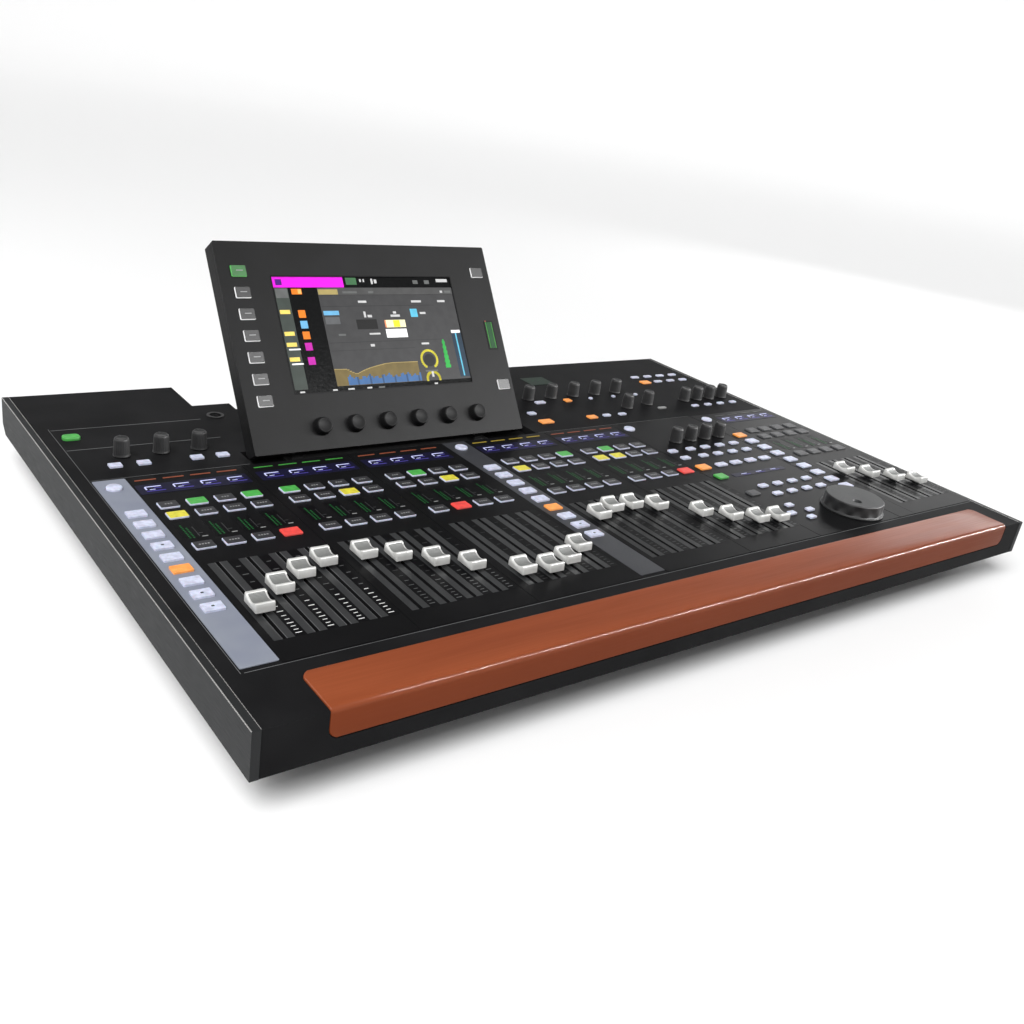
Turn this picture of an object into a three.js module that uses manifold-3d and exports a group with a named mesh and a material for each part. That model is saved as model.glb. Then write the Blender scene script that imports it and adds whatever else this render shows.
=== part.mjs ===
// Digital mixing desk: a flat slab between two side cheeks, with 24 motor faders in six banks,
// rotary encoders, a jog wheel, lit keys and a touch screen on a tilting hinge.
// Millimetres, +Z up, +X to the right and +Y to the back. The origin is on the table,
// under the middle of the desk. Places on the deck are given from its front left corner.

import * as THREE from 'three';
import { mergeVertices } from 'three/addons/utils/BufferGeometryUtils.js';
import Module from 'manifold-3d';

const wasm = await Module();
wasm.setup();

// Driving dimensions of the desk
const deskWidth = 871;
const deskDepth = 580;
const footHeight = 6;
const panDepth = 22;
const slabHeight = 35;
const slabBottom = footHeight + panDepth;
const deckTop = slabBottom + slabHeight;
const cheekWidth = 6;
const sheet = 3;
const panSheet = 2;
const gap = 0.3;
const through = 1;

// The bay cut out of the rear edge behind the screen, and the dip under the screen's lower edge
const bay = { left: 164, step: 203, right: 500, front: 503, stepFront: 521 };
const trough = { left: 160.5, right: 488.5, front: 361, back: 393, depth: 8 };

// The armrest, wrapped over the front edge
const armrest = { left: 50, right: 837, front: 0.3, back: 43.5, drop: 21.5, proud: 1.5, corner: 8 };

// The tray under the slab
const well = { left: 30, right: 841, front: 50, back: 495 };
const footRadius = 14;
const footInset = 40;

// Faders: four to a bank, each with the place of its cap at rest
const channelPitch = 23.7;
const faderBanks = [
  { left: 59.3, rest: [123, 142, 157, 168] },
  { left: 164.8, rest: [168, 156, 139, 123] },
  { left: 270.3, rest: [102, 97, 104, 118] },
  { left: 404.3, rest: [163, 172, 171, 161] },
  { left: 509.6, rest: [135, 118, 105, 100] },
  { left: 773.5, rest: [164, 147, 130, 116] },
];
const travel = { front: 90, back: 190 };
const slotWidth = 3;
const slotMargin = 7;
const cap = { width: 14.8, length: 19.5, height: 8.2, lift: 3.8 };
const stem = { width: 1.4, length: 8 };
const carriage = { width: 7, length: 9, height: 4.5 };
const railTop = 45;
const railWidth = 6;
const trackBoard = 2;
const motor = { width: 18, length: 26, height: 20 };

// Rotary encoders: a row of three, two rows of four
const knob = { radius: 7, height: 16.5, shaftRadius: 2.5, clearance: 0.7 };
const knobRows = [
  { name: 'monitor_knob', left: 59, pitch: 34.8, count: 3, back: 411 },
  { name: 'main_knob', left: 639.5, pitch: 23.9, count: 4, back: 298 },
  { name: 'assign_knob', left: 771, pitch: 23.3, count: 4, back: 414 },
];

// The jog wheel, and its finger dimple from the wheel's middle
const jog = { across: 691, back: 92, radius: 30.5, height: 14, shaftRadius: 5 };
const dimple = { across: -10.5, back: -10, radius: 4.8, depth: 2.5 };

// Push keys with their own travel
const key = { lift: 2.5, travel: 1.2, clearance: 0.4, skirt: 9 };
const roundKeyRadius = 6.5;
const roundKeys = [
  { name: 'bank_key_left', across: 31.7, back: 344 },
  { name: 'bank_key_middle', across: 376.9, back: 346 },
  { name: 'bank_key_main', across: 610.7, back: 344.5 },
  { name: 'bank_key_right', across: 742.5, back: 346 },
];
const monitorKey = { across: 30.7, back: 461.3, length: 15, width: 11 };

// The screen, in its own frame: X across, Y up along the glass, Z out of the glass
const screen = { left: 163.5, width: 306.5, height: 205, depth: 19, back: 366, lift: 6, tilt: 55 };
const glass = { left: 51, bottom: 55, width: 204, height: 116 };
const bezelDepth = 4;
const shellWall = 2.5;
const screenCorner = 1.5;
const hinge = { up: 11.75, in: 12, pinRadius: 2, ear: 105, earWidth: 12, earReach: 5, rib: 3 };

// The connector plate in the rear wall
const connectorPlate = { left: 520, right: 850, low: 31, high: 59, depth: 20 };
const socketHeight = 45;
const audioSockets = { left: 720, pitch: 32, count: 4, radius: 8, depth: 13 };
const dataSockets = { left: 624, pitch: 30, count: 2, width: 14, height: 12, depth: 13 };
const mainsInlet = { left: 560, width: 26, height: 18, depth: 15 };

// Boards and supply inside
const mainBoard = { left: 150, right: 610, front: 250, back: 450, low: 20, thick: 2 };
const supply = { left: 660, right: 820, front: 270, back: 400, height: 36 };
const postRadius = 3;

const across = (distance) => distance - deskWidth / 2;
const back = (distance) => distance - deskDepth / 2;

// A closed mesh as a solid that can be joined and cut
function solid(geometry) {
  const bare = geometry.clone();
  for (const name of ['normal', 'uv']) bare.deleteAttribute(name);
  const merged = mergeVertices(bare, 1e-4);
  const mesh = new wasm.Mesh({
    numProp: 3,
    vertProperties: new Float32Array(merged.attributes.position.array),
    triVerts: new Uint32Array(merged.index.array),
  });
  return new wasm.Manifold(mesh);
}

// The geometry of a joined and cut solid
function geometryOf(piece) {
  const mesh = piece.getMesh();
  const geometry = new THREE.BufferGeometry();
  geometry.setAttribute('position', new THREE.BufferAttribute(new Float32Array(mesh.vertProperties), 3));
  geometry.setIndex(new THREE.BufferAttribute(new Uint32Array(mesh.triVerts), 1));
  geometry.computeVertexNormals();
  return geometry;
}

// A block between two corners
function block(x0, x1, y0, y1, z0, z1) {
  const geometry = new THREE.BoxGeometry(x1 - x0, y1 - y0, z1 - z0);
  geometry.translate((x0 + x1) / 2, (y0 + y1) / 2, (z0 + z1) / 2);
  return solid(geometry);
}

// A block placed on the deck plan, from its front left corner
function deckBlock(left, right, front, rear, low, high) {
  return block(across(left), across(right), back(front), back(rear), low, high);
}

// An upright disc or post
function disc(x, y, radius, low, high, sides = 24) {
  const geometry = new THREE.CylinderGeometry(radius, radius, high - low, sides);
  geometry.rotateX(Math.PI / 2);
  geometry.translate(x, y, (low + high) / 2);
  return solid(geometry);
}

// A closed outline in plan, raised from one height to another
function prism(points, low, high) {
  const shape = new THREE.Shape(points.map(([x, y]) => new THREE.Vector2(x, y)));
  const geometry = new THREE.ExtrudeGeometry(shape, { depth: high - low, bevelEnabled: false });
  geometry.translate(0, 0, low);
  return solid(geometry);
}

// A rectangle with round corners, raised from one height to another
function roundedBlock(x0, x1, y0, y1, radius, low, high, cornerSteps = 4) {
  const centres = [[x1 - radius, y0 + radius], [x1 - radius, y1 - radius],
    [x0 + radius, y1 - radius], [x0 + radius, y0 + radius]];
  const points = centres.flatMap(([x, y], corner) => Array.from({ length: cornerSteps + 1 }, (_, step) => {
    const angle = (corner - 1 + step / cornerSteps) * Math.PI / 2;
    return [x + radius * Math.cos(angle), y + radius * Math.sin(angle)];
  }));
  return prism(points, low, high);
}

// A side outline, given as depth and height, run across the desk from x0 to x1
function sideProfile(points, x0, x1) {
  const shape = new THREE.Shape(points.map(([y, z]) => new THREE.Vector2(y, z)));
  const geometry = new THREE.ExtrudeGeometry(shape, { depth: x1 - x0, bevelEnabled: false });
  geometry.applyMatrix4(new THREE.Matrix4().makeBasis(
    new THREE.Vector3(0, 1, 0), new THREE.Vector3(0, 0, 1), new THREE.Vector3(1, 0, 0)));
  geometry.translate(x0, 0, 0);
  return solid(geometry);
}

// A turned piece about its own upright axis, from its outline on one side
function turned(outline, sides) {
  const points = outline.map(([radius, height]) => new THREE.Vector2(radius, height));
  const geometry = new THREE.LatheGeometry(points, sides);
  geometry.rotateX(Math.PI / 2);
  return solid(geometry);
}

function material(color, roughness, metalness) {
  return new THREE.MeshStandardMaterial({ color, roughness, metalness });
}

const finishes = {
  deck: material(0x2d2d2e, 0.55, 0.3),
  cheek: material(0x4b4b4c, 0.45, 0.5),
  pan: material(0x242425, 0.6, 0.4),
  armrest: material(0x9a5a3c, 0.5, 0),
  cap: material(0xb9bab8, 0.4, 0.1),
  knob: material(0x1c1c1d, 0.6, 0),
  whiteKey: material(0xd8dae8, 0.4, 0),
  greenKey: material(0x5fe06a, 0.4, 0),
  screen: material(0x222223, 0.6, 0),
  glass: material(0x101215, 0.1, 0),
  steel: material(0xa9abad, 0.3, 1),
  rubber: material(0x151515, 0.9, 0),
  board: material(0x1f4a33, 0.6, 0),
  plated: material(0x8d9092, 0.4, 0.9),
};

// The slab's plan outline, drawn in by an inset all round
function slabOutline(inset) {
  const side = cheekWidth + gap + inset;
  const front = gap + inset;
  const rear = deskDepth - gap - inset;
  return [
    [side, front], [deskWidth - side, front], [deskWidth - side, rear], [bay.right + inset, rear],
    [bay.right + inset, bay.front - inset], [bay.step - inset, bay.front - inset],
    [bay.step - inset, bay.stepFront - inset], [bay.left - inset, bay.stepFront - inset],
    [bay.left - inset, rear], [side, rear],
  ].map(([x, y]) => [across(x), back(y)]);
}

// The armrest bar, or with a clearance and a reach to the front, the rebate that it sits in
function armrestSolid(clearance, reach = 0) {
  const left = across(armrest.left) - clearance;
  const right = across(armrest.right) + clearance;
  const front = back(armrest.front) - clearance - reach;
  const rear = back(armrest.back) + clearance;
  const low = deckTop - armrest.drop - clearance;
  const high = deckTop + armrest.proud;
  const ridge = [0, 1, 2, 3].map((step) => {
    const angle = step / 3 * Math.PI / 2;
    return [front + 4 - 4 * Math.cos(angle), high - 4 + 4 * Math.sin(angle)];
  });
  const bar = sideProfile([[front, low], ...ridge, [rear - 2, high], [rear, high - 1], [rear, low]].reverse(),
    left, right);
  const plan = roundedBlock(left, right, front - 20, rear, armrest.corner, low - through, high + through);
  const face = roundedBlock(left, right, low, high + 20, armrest.corner, -rear - through, -front + through);
  return bar.intersect(plan).intersect(face.rotate([90, 0, 0]));
}

function deckPanel() {
  const shell = prism(slabOutline(0), slabBottom, deckTop);
  const shelf = deckTop - armrest.drop - gap;
  const hollow = prism(slabOutline(sheet), slabBottom - through, deckTop - sheet);
  const underArmrest = deckBlock(armrest.left - sheet - gap, armrest.right + sheet + gap, 0,
    armrest.back + sheet + gap, shelf - sheet, deckTop);
  const dip = deckTop - trough.depth;
  const underTrough = deckBlock(trough.left - sheet, trough.right + sheet, trough.front - sheet,
    trough.back + sheet, dip - sheet, deckTop);
  const cuts = [
    hollow.subtract(underArmrest).subtract(underTrough),
    armrestSolid(gap, through),
    deckBlock(armrest.left - gap, armrest.right + gap, -through, armrest.back - armrest.corner,
      deckTop - armrest.corner, deckTop + through),
    deckBlock(trough.left, trough.right, trough.front, trough.back, dip, deckTop + through),
    deckBlock(connectorPlate.left, connectorPlate.right, deskDepth - 2 * sheet, deskDepth + through,
      connectorPlate.low, connectorPlate.high),
    ...faderSlots(),
    ...controlHoles(),
  ];
  return shell.subtract(wasm.Manifold.union(cuts));
}

function faderSlots() {
  return faderPlaces().map(({ x }) => roundedBlock(
    x - slotWidth / 2, x + slotWidth / 2, back(travel.front - slotMargin), back(travel.back + slotMargin),
    1, deckTop - 2 * sheet, deckTop + through, 2));
}

function controlHoles() {
  const low = deckTop - 2 * sheet;
  const high = deckTop + through;
  const shafts = knobPlaces().map(({ x, y }) => disc(x, y, knob.shaftRadius + knob.clearance, low, high, 12));
  const rounds = roundKeys.map((one) => disc(
    across(one.across), back(one.back), roundKeyRadius + key.clearance, low, high));
  const wheel = disc(across(jog.across), back(jog.back), jog.shaftRadius + knob.clearance, low, high, 16);
  return [...shafts, ...rounds, wheel, monitorKeyBlock(key.clearance, low, high)];
}

function faderPlaces() {
  return faderBanks.flatMap((bank, group) => bank.rest.map((rest, index) => ({
    name: `fader_${String(group * bank.rest.length + index + 1).padStart(2, '0')}`,
    x: across(bank.left + index * channelPitch),
    y: back(rest),
  })));
}

function knobPlaces() {
  return knobRows.flatMap((row) => Array.from({ length: row.count }, (_, index) => ({
    name: `${row.name}_${index + 1}`,
    x: across(row.left + index * row.pitch),
    y: back(row.back),
  })));
}

// A fader: a cap with a finger dip, its stem through the slot, and the carriage on the rail
function faderSolid() {
  const half = cap.length / 2;
  const dip = [-0.8, -0.4, 0, 0.4, 0.8].map((turn) => [turn * 7.2, cap.height - 2.6 + 2.4 * turn * turn]);
  const side = [
    [-half, 0], [half, 0], [half - 0.8, cap.height - 2.5], [half - 2.2, cap.height],
    ...dip.reverse(), [-half + 2, cap.height - 1], [-half + 0.6, cap.height - 2.2],
  ];
  const foot = deckTop + cap.lift;
  const top = sideProfile(side, -cap.width / 2, cap.width / 2).translate([0, 0, foot]);
  const low = railTop + gap;
  const blade = block(-stem.width / 2, stem.width / 2, -stem.length / 2, stem.length / 2, low, foot + through);
  const slider = block(-carriage.width / 2, carriage.width / 2, -carriage.length / 2, carriage.length / 2,
    low, low + carriage.height);
  return top.add(blade).add(slider);
}

// The rails and drive motors of some banks, on one board that stands on posts
function faderTracks(banks) {
  const rails = banks.flatMap((bank) => bank.rest.map((_, index) => bank.left + index * channelPitch));
  const left = rails[0] - 14;
  const right = rails[rails.length - 1] + 14;
  const motorFront = travel.back + slotMargin + 6;
  const boardTop = railTop - 9;
  const low = boardTop - trackBoard;
  const board = deckBlock(left, right, travel.front - 16, motorFront + motor.length + 4, low, boardTop);
  const bars = rails.map((x) => deckBlock(x - railWidth / 2, x + railWidth / 2, travel.front - 10,
    travel.back + 10, boardTop - through, railTop));
  const motors = rails.map((x) => deckBlock(x - motor.width / 2, x + motor.width / 2, motorFront,
    motorFront + motor.length, boardTop - through, boardTop + motor.height));
  const postSides = [left + 6, Math.min(right, well.right - panSheet) - 6];
  const posts = postSides.flatMap((x) => [travel.front - 10, motorFront + motor.length - 2].map(
    (y) => disc(across(x), back(y), postRadius, footHeight + panSheet + gap, low + through, 10)));
  return wasm.Manifold.union([board, ...bars, ...motors, ...posts]);
}

// An encoder knob with its shaft; the cap has a flat pointer groove on its top
function knobSolid() {
  const base = deckTop + 0.8;
  const top = base + knob.height;
  const low = deckTop - 2.5 * sheet;
  const body = turned([[0, low], [knob.shaftRadius, low], [knob.shaftRadius, base], [knob.radius, base],
    [knob.radius - 0.6, top - 1.2], [knob.radius - 1.8, top], [0, top]], 20);
  const groove = block(-0.6, 0.6, 0, knob.radius, top - 0.8, top + through);
  return body.subtract(groove);
}

function jogSolid() {
  const base = deckTop + 0.6;
  const top = base + jog.height;
  const low = deckTop - 2.5 * sheet;
  const body = turned([[0, low], [jog.shaftRadius, low], [jog.shaftRadius, base], [jog.radius - 1, base],
    [jog.radius, base + 1.5], [jog.radius, base + 3], [jog.radius - 0.8, top - 1], [jog.radius - 1.8, top],
    [0, top]], 48);
  return body.subtract(disc(dimple.across, dimple.back, dimple.radius, top - dimple.depth, top + through, 20));
}

function roundKeySolid() {
  const top = deckTop + key.lift;
  return turned([[0, top - key.skirt], [roundKeyRadius, top - key.skirt], [roundKeyRadius, top - 1],
    [roundKeyRadius - 1, top], [0, top]], 24);
}

function monitorKeyBlock(clearance, low, high) {
  const x = across(monitorKey.across);
  const y = back(monitorKey.back);
  const halfLength = monitorKey.length / 2 + clearance;
  const halfWidth = monitorKey.width / 2 + clearance;
  return roundedBlock(x - halfLength, x + halfLength, y - halfWidth, y + halfWidth, 4, low, high);
}

// A side cheek: a plate with its rear lower corner and its top outer edge chamfered
function cheekSolid(side) {
  const front = back(0);
  const rear = back(deskDepth);
  const plate = sideProfile([[front, slabBottom], [rear - 9, slabBottom], [rear, slabBottom + 9],
    [rear, deckTop], [front, deckTop]], -cheekWidth / 2, cheekWidth / 2);
  const edge = new THREE.BoxGeometry(2, deskDepth + 2, 2);
  edge.rotateY(Math.PI / 4);
  edge.translate(side * (cheekWidth / 2 + 0.5), 0, deckTop + 0.5);
  return plate.subtract(solid(edge));
}

// The tray under the slab: a floor plate round the edge and a well in the middle
function bottomPan() {
  const rim = prism(slabOutline(sheet + gap), slabBottom, slabBottom + panSheet);
  const outer = deckBlock(well.left, well.right, well.front, well.back, footHeight, slabBottom + panSheet);
  const inner = deckBlock(well.left + panSheet, well.right - panSheet, well.front + panSheet,
    well.back - panSheet, footHeight + panSheet, slabBottom + panSheet + through);
  return rim.add(outer).subtract(inner);
}

// The plate that the plugs go into, with the socket bodies behind it
function rearPlate() {
  const face = deskDepth - 0.8;
  const plate = deckBlock(connectorPlate.left + gap, connectorPlate.right - gap, face - panSheet, face,
    connectorPlate.low + gap, connectorPlate.high - gap);
  const backing = deckBlock(connectorPlate.left + 12, connectorPlate.right - 12, face - connectorPlate.depth,
    face - through, connectorPlate.low + 1, connectorPlate.high - 1);
  const rounds = Array.from({ length: audioSockets.count }, (_, index) => {
    const x = across(audioSockets.left + index * audioSockets.pitch);
    const hole = disc(0, 0, audioSockets.radius, -audioSockets.depth, through, 20).rotate([-90, 0, 0]);
    return hole.translate([x, back(face), socketHeight]);
  });
  const squares = Array.from({ length: dataSockets.count }, (_, index) =>
    socketHole(dataSockets.left + index * dataSockets.pitch, dataSockets, face));
  const cuts = [...rounds, ...squares, socketHole(mainsInlet.left, mainsInlet, face)];
  return plate.add(backing).subtract(wasm.Manifold.union(cuts));
}

function socketHole(middle, size, face) {
  return deckBlock(middle - size.width / 2, middle + size.width / 2, face - size.depth, face + through,
    socketHeight - size.height / 2, socketHeight + size.height / 2);
}

// The processor board, on posts in the well, with its heat sink
function mainBoardSolid() {
  const top = mainBoard.low + mainBoard.thick;
  const board = deckBlock(mainBoard.left, mainBoard.right, mainBoard.front, mainBoard.back, mainBoard.low, top);
  const inset = 8;
  const posts = [mainBoard.left + inset, mainBoard.right - inset].flatMap((x) =>
    [mainBoard.front + inset, mainBoard.back - inset].map((y) =>
      disc(across(x), back(y), postRadius, footHeight + panSheet + gap, mainBoard.low + through, 10)));
  const sink = deckBlock(280, 360, 320, 400, top - through, top + 14);
  const chips = [430, 490, 550].map((x) => deckBlock(x, x + 32, 330, 362, top - through, top + 4));
  return wasm.Manifold.union([board, ...posts, sink, ...chips]);
}

function supplySolid() {
  const low = footHeight + panSheet + gap;
  const box = deckBlock(supply.left, supply.right, supply.front, supply.back, low, low + supply.height);
  const vents = Array.from({ length: 6 }, (_, index) => {
    const x = supply.left + 25 + index * 20;
    return deckBlock(x, x + 8, supply.front - through, supply.front + 4, low + 8, low + supply.height - 8);
  });
  return box.subtract(wasm.Manifold.union(vents));
}

function footSolid() {
  return turned([[0, 0], [footRadius - 1.5, 0], [footRadius, 1.5], [footRadius, footHeight - gap],
    [0, footHeight - gap]], 24);
}

// The glass's opening in the bezel, grown by a clearance
function glassBlock(clearance, low, high) {
  const left = glass.left - screen.width / 2;
  return block(left - clearance, left + glass.width + clearance, glass.bottom - clearance,
    glass.bottom + glass.height + clearance, low, high);
}

function bezelSolid() {
  const half = screen.width / 2;
  const plate = roundedBlock(-half, half, 0, screen.height, screenCorner, -bezelDepth, 0);
  return plate.subtract(glassBlock(0, -bezelDepth - through, through));
}

function displaySolid() {
  const front = -0.8;
  return glassBlock(-gap, -bezelDepth - 1, front).add(glassBlock(5, -bezelDepth - 6, -bezelDepth - gap));
}

// The rear shell of the screen, with ribs that turn on the pin and slots for the fixed ears
function screenBackSolid() {
  const half = screen.width / 2;
  const front = -bezelDepth - gap;
  const rear = -screen.depth;
  const outer = roundedBlock(-half, half, 0, screen.height, screenCorner, rear, front);
  const chamfer = 6;
  const bevel = sideProfile([[-through, rear - through], [chamfer, rear - through], [-through, rear + chamfer]],
    -half - through, half + through);
  const inner = block(-half + shellWall, half - shellWall, shellWall, screen.height - shellWall,
    rear + shellWall, front + through);
  const shell = outer.subtract(bevel).subtract(inner);
  const ears = [-hinge.ear, hinge.ear];
  const slotHalf = hinge.earWidth / 2 + 1.5;
  const ribs = ears.flatMap((x) => [-1, 1].map((side) => {
    const middle = x + side * (slotHalf + hinge.rib / 2);
    return block(middle - hinge.rib / 2, middle + hinge.rib / 2, shellWall - 0.5, hinge.up + 8,
      rear + shellWall - 0.5, front);
  }));
  const slots = ears.map((x) => block(x - slotHalf, x + slotHalf, -through, hinge.up + 7.5,
    rear - through, -hinge.in + hinge.earReach + 1.2));
  const bore = pinRod(hinge.pinRadius + gap, hinge.ear + 14);
  return wasm.Manifold.union([shell, ...ribs]).subtract(wasm.Manifold.union([...slots, bore]));
}

// A rod along the hinge line, in the screen's own frame
function pinRod(radius, half) {
  return disc(0, 0, radius, -half, half, 16).rotate([0, 90, 0]).translate([0, hinge.up, -hinge.in]);
}

// Places the screen's frame on the desk
const screenFrame = new THREE.Group();
screenFrame.position.set(across(screen.left + screen.width / 2), back(screen.back), deckTop + screen.lift);
screenFrame.rotation.x = THREE.MathUtils.degToRad(screen.tilt);
screenFrame.updateMatrixWorld(true);

// The fixed bracket in the trough: a foot plate with two ears that carry the pin
function hingeBracket() {
  const line = new THREE.Vector3(0, hinge.up, -hinge.in).applyMatrix4(screenFrame.matrixWorld);
  const low = deckTop - trough.depth + gap;
  const plateTop = low + 1.6;
  const middle = screenFrame.position.x;
  const plate = block(middle - hinge.ear - 12, middle + hinge.ear + 12, line.y - 9, line.y + 8, low, plateTop);
  const ears = [-hinge.ear, hinge.ear].map((x) => {
    const arc = Array.from({ length: 9 }, (_, step) => {
      const angle = step / 8 * Math.PI;
      return [line.y + hinge.earReach * Math.cos(angle), line.z + hinge.earReach * Math.sin(angle)];
    });
    const outline = [[line.y - hinge.earReach, low], [line.y + hinge.earReach, low], ...arc];
    return sideProfile(outline, middle + x - hinge.earWidth / 2, middle + x + hinge.earWidth / 2);
  });
  const bore = disc(0, 0, hinge.pinRadius + gap, -hinge.ear - 20, hinge.ear + 20, 16).rotate([0, 90, 0])
    .translate([middle, line.y, line.z]);
  return wasm.Manifold.union([plate, ...ears]).subtract(bore);
}

const desk = new THREE.Group();

// Adds a named sub-part to the desk or to one of its groups
function add(name, piece, finish, place = [0, 0, 0], parent = desk) {
  const mesh = new THREE.Mesh(geometryOf(piece), finish);
  mesh.name = name;
  mesh.position.set(...place);
  parent.add(mesh);
}

add('deck_panel', deckPanel(), finishes.deck);
add('bottom_pan', bottomPan(), finishes.pan);
add('left_cheek', cheekSolid(-1), finishes.cheek, [across(cheekWidth / 2), 0, 0]);
add('right_cheek', cheekSolid(1), finishes.cheek, [across(deskWidth - cheekWidth / 2), 0, 0]);
add('armrest', armrestSolid(0), finishes.armrest);
add('connector_plate', rearPlate(), finishes.pan);
add('main_board', mainBoardSolid(), finishes.board);
add('power_supply', supplySolid(), finishes.plated);
add('left_fader_tracks', faderTracks(faderBanks.slice(0, 3)), finishes.plated);
add('right_fader_tracks', faderTracks(faderBanks.slice(3)), finishes.plated);

for (const [side, x] of [['left', well.left + footInset], ['right', well.right - footInset]]) {
  add(`front_${side}_foot`, footSolid(), finishes.rubber, [across(x), back(well.front + footInset), 0]);
  add(`rear_${side}_foot`, footSolid(), finishes.rubber, [across(x), back(well.back - footInset), 0]);
}

for (const { name, x, y } of faderPlaces()) add(name, faderSolid(), finishes.cap, [x, y, 0]);
for (const { name, x, y } of knobPlaces()) add(name, knobSolid(), finishes.knob, [x, y, 0]);
add('jog_wheel', jogSolid(), finishes.knob, [across(jog.across), back(jog.back), 0]);
for (const one of roundKeys) {
  add(one.name, roundKeySolid(), finishes.whiteKey, [across(one.across), back(one.back), 0]);
}
add('monitor_key', monitorKeyBlock(0, deckTop + key.lift - key.skirt, deckTop + key.lift), finishes.greenKey);

desk.add(screenFrame);
add('screen_bezel', bezelSolid(), finishes.screen, [0, 0, 0], screenFrame);
add('screen_back', screenBackSolid(), finishes.screen, [0, 0, 0], screenFrame);
add('touch_display', displaySolid(), finishes.glass, [0, 0, 0], screenFrame);
add('hinge_pin', pinRod(hinge.pinRadius, hinge.ear + 10), finishes.steel, [0, 0, 0], screenFrame);
add('hinge_bracket', hingeBracket(), finishes.steel);

export default desk;
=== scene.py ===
"""Looks of a digital mixing desk, built around its fixed CAD frame.

Lengths in the tables are millimetres. Places on the deck are given from its front left corner,
and places on the screen from the lower left corner of its bezel.
"""
import math

import bmesh
import bpy
from mathutils import Matrix, Vector
from mathutils.geometry import tessellate_polygon


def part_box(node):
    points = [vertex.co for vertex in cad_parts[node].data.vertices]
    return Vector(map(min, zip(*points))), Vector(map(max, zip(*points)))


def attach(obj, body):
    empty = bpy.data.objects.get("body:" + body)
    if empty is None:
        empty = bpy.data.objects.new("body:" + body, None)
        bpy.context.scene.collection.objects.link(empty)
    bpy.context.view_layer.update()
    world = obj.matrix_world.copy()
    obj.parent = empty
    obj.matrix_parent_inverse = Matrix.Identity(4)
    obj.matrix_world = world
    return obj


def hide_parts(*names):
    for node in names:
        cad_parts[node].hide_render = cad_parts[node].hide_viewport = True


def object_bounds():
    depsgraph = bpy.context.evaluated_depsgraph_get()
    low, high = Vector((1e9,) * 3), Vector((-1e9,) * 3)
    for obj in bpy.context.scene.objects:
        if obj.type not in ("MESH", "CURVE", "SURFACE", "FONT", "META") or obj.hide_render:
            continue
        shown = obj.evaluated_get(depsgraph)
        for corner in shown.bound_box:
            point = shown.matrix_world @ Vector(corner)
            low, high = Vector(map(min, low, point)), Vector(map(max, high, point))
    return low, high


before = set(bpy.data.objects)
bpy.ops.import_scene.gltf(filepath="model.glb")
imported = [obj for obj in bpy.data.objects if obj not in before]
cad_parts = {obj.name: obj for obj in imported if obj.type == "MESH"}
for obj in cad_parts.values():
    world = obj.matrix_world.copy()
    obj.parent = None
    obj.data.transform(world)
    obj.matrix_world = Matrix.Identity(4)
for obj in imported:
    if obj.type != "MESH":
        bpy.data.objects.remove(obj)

bl_info = {
    "name": "Mixing desk looks",
    "version": (1, 0, 0),
    "blender": (4, 5, 0),
    "location": "3D View > Sidebar > Mixing desk",
    "description": "Builds the keys, caps, knobs, displays and finishes of a digital mixing desk",
    "category": "Add Mesh",
}

MM = 0.001
CAD_LOW, CAD_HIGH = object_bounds()
DECK_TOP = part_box("deck_panel")[1].z
FRONT_LEFT = Vector((CAD_LOW.x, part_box("left_cheek")[0].y, DECK_TOP))
SCREEN_TILT = math.radians(55)
SCREEN_HEIGHT = 205
SCREEN_WIDTH = 306.5
SCREEN_THICKNESS = 19
GLASS_LEFT, GLASS_BOTTOM, GLASS_WIDTH, GLASS_HEIGHT = 51, 55, 204, 116
PICTURE_LEFT = GLASS_LEFT + 3
GLASS_DROP = 0.8

# ---------------------------------------------------------------- layout of the deck

DESK_WIDTH, DESK_DEPTH = 871, 580
CHANNEL_PITCH = 23.7
CHANNELS = 4
# Each bank: its first channel, its colour bars, and the lit keys of its three rows
BANKS = (
    {"left": 59.3, "bar": "brick", "upper": {1: "green", 3: "green"}, "middle": {0: "yellow"},
     "lower": {3: "red"}},
    {"left": 164.8, "bar": "leaf", "upper": {0: "green"}, "middle": {2: "yellow"}, "lower": {}},
    {"left": 270.3, "bar": "brick", "upper": {1: "green"}, "middle": {2: "yellow"},
     "lower": {1: "red"}},
    {"left": 404.3, "bar": "ochre", "upper": {3: "green"}, "middle": {0: "yellow"}, "lower": {}},
    {"left": 509.6, "bar": "brick", "upper": {1: "green"}, "middle": {0: "yellow", 1: "yellow"},
     "lower": {3: "red"}},
    {"left": 773.5, "bar": "scale", "upper": {}, "middle": {}, "lower": {}},
)
ROW_BACK = {"upper": 300.5, "middle": 280.5, "lower": 225}
CHANNEL_KEY = (15.8, 11.8)
CHANNEL_KEY_HEIGHT = 1.5
SLOT_FRONT, SLOT_BACK = 83, 197
SLOT_WIDTH = 3

# Overlay plates of the control surface: left, right, front, back
PLATE_FRONT, PLATE_BACK = 58.5, 362
PLATES = {
    "left_overlay": (46.2, 148.4), "second_overlay": (149.0, 253.8), "third_overlay": (254.4, 362.8),
    "middle_overlay": (391.2, 496.8), "fifth_overlay": (497.4, 596.4), "master_overlay": (597.0, 728.8),
    "right_overlay": (756.4, 864.2),
}
STRIPS = {
    "left_key_strip": (19, 45.6, "bank_key_left"),
    "middle_key_strip": (363.4, 390.6, "bank_key_middle"),
    "right_key_strip": (729.4, 755.8, "bank_key_right"),
}
STRIP_REACH = (61.5, 361.5)
STRIP_KEY = (15, 10.8)
STRIP_KEY_BACK = 291.2
STRIP_KEY_PITCH = 19.3
STRIP_KEYS = 9
STRIP_LIT_KEY = 5



def key_grid(columns, rows, width, depth, colour="pearl"):
    """Keys of one size and colour where columns and rows cross."""
    return [(x, y, width, depth, colour) for x in columns for y in rows]


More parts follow.
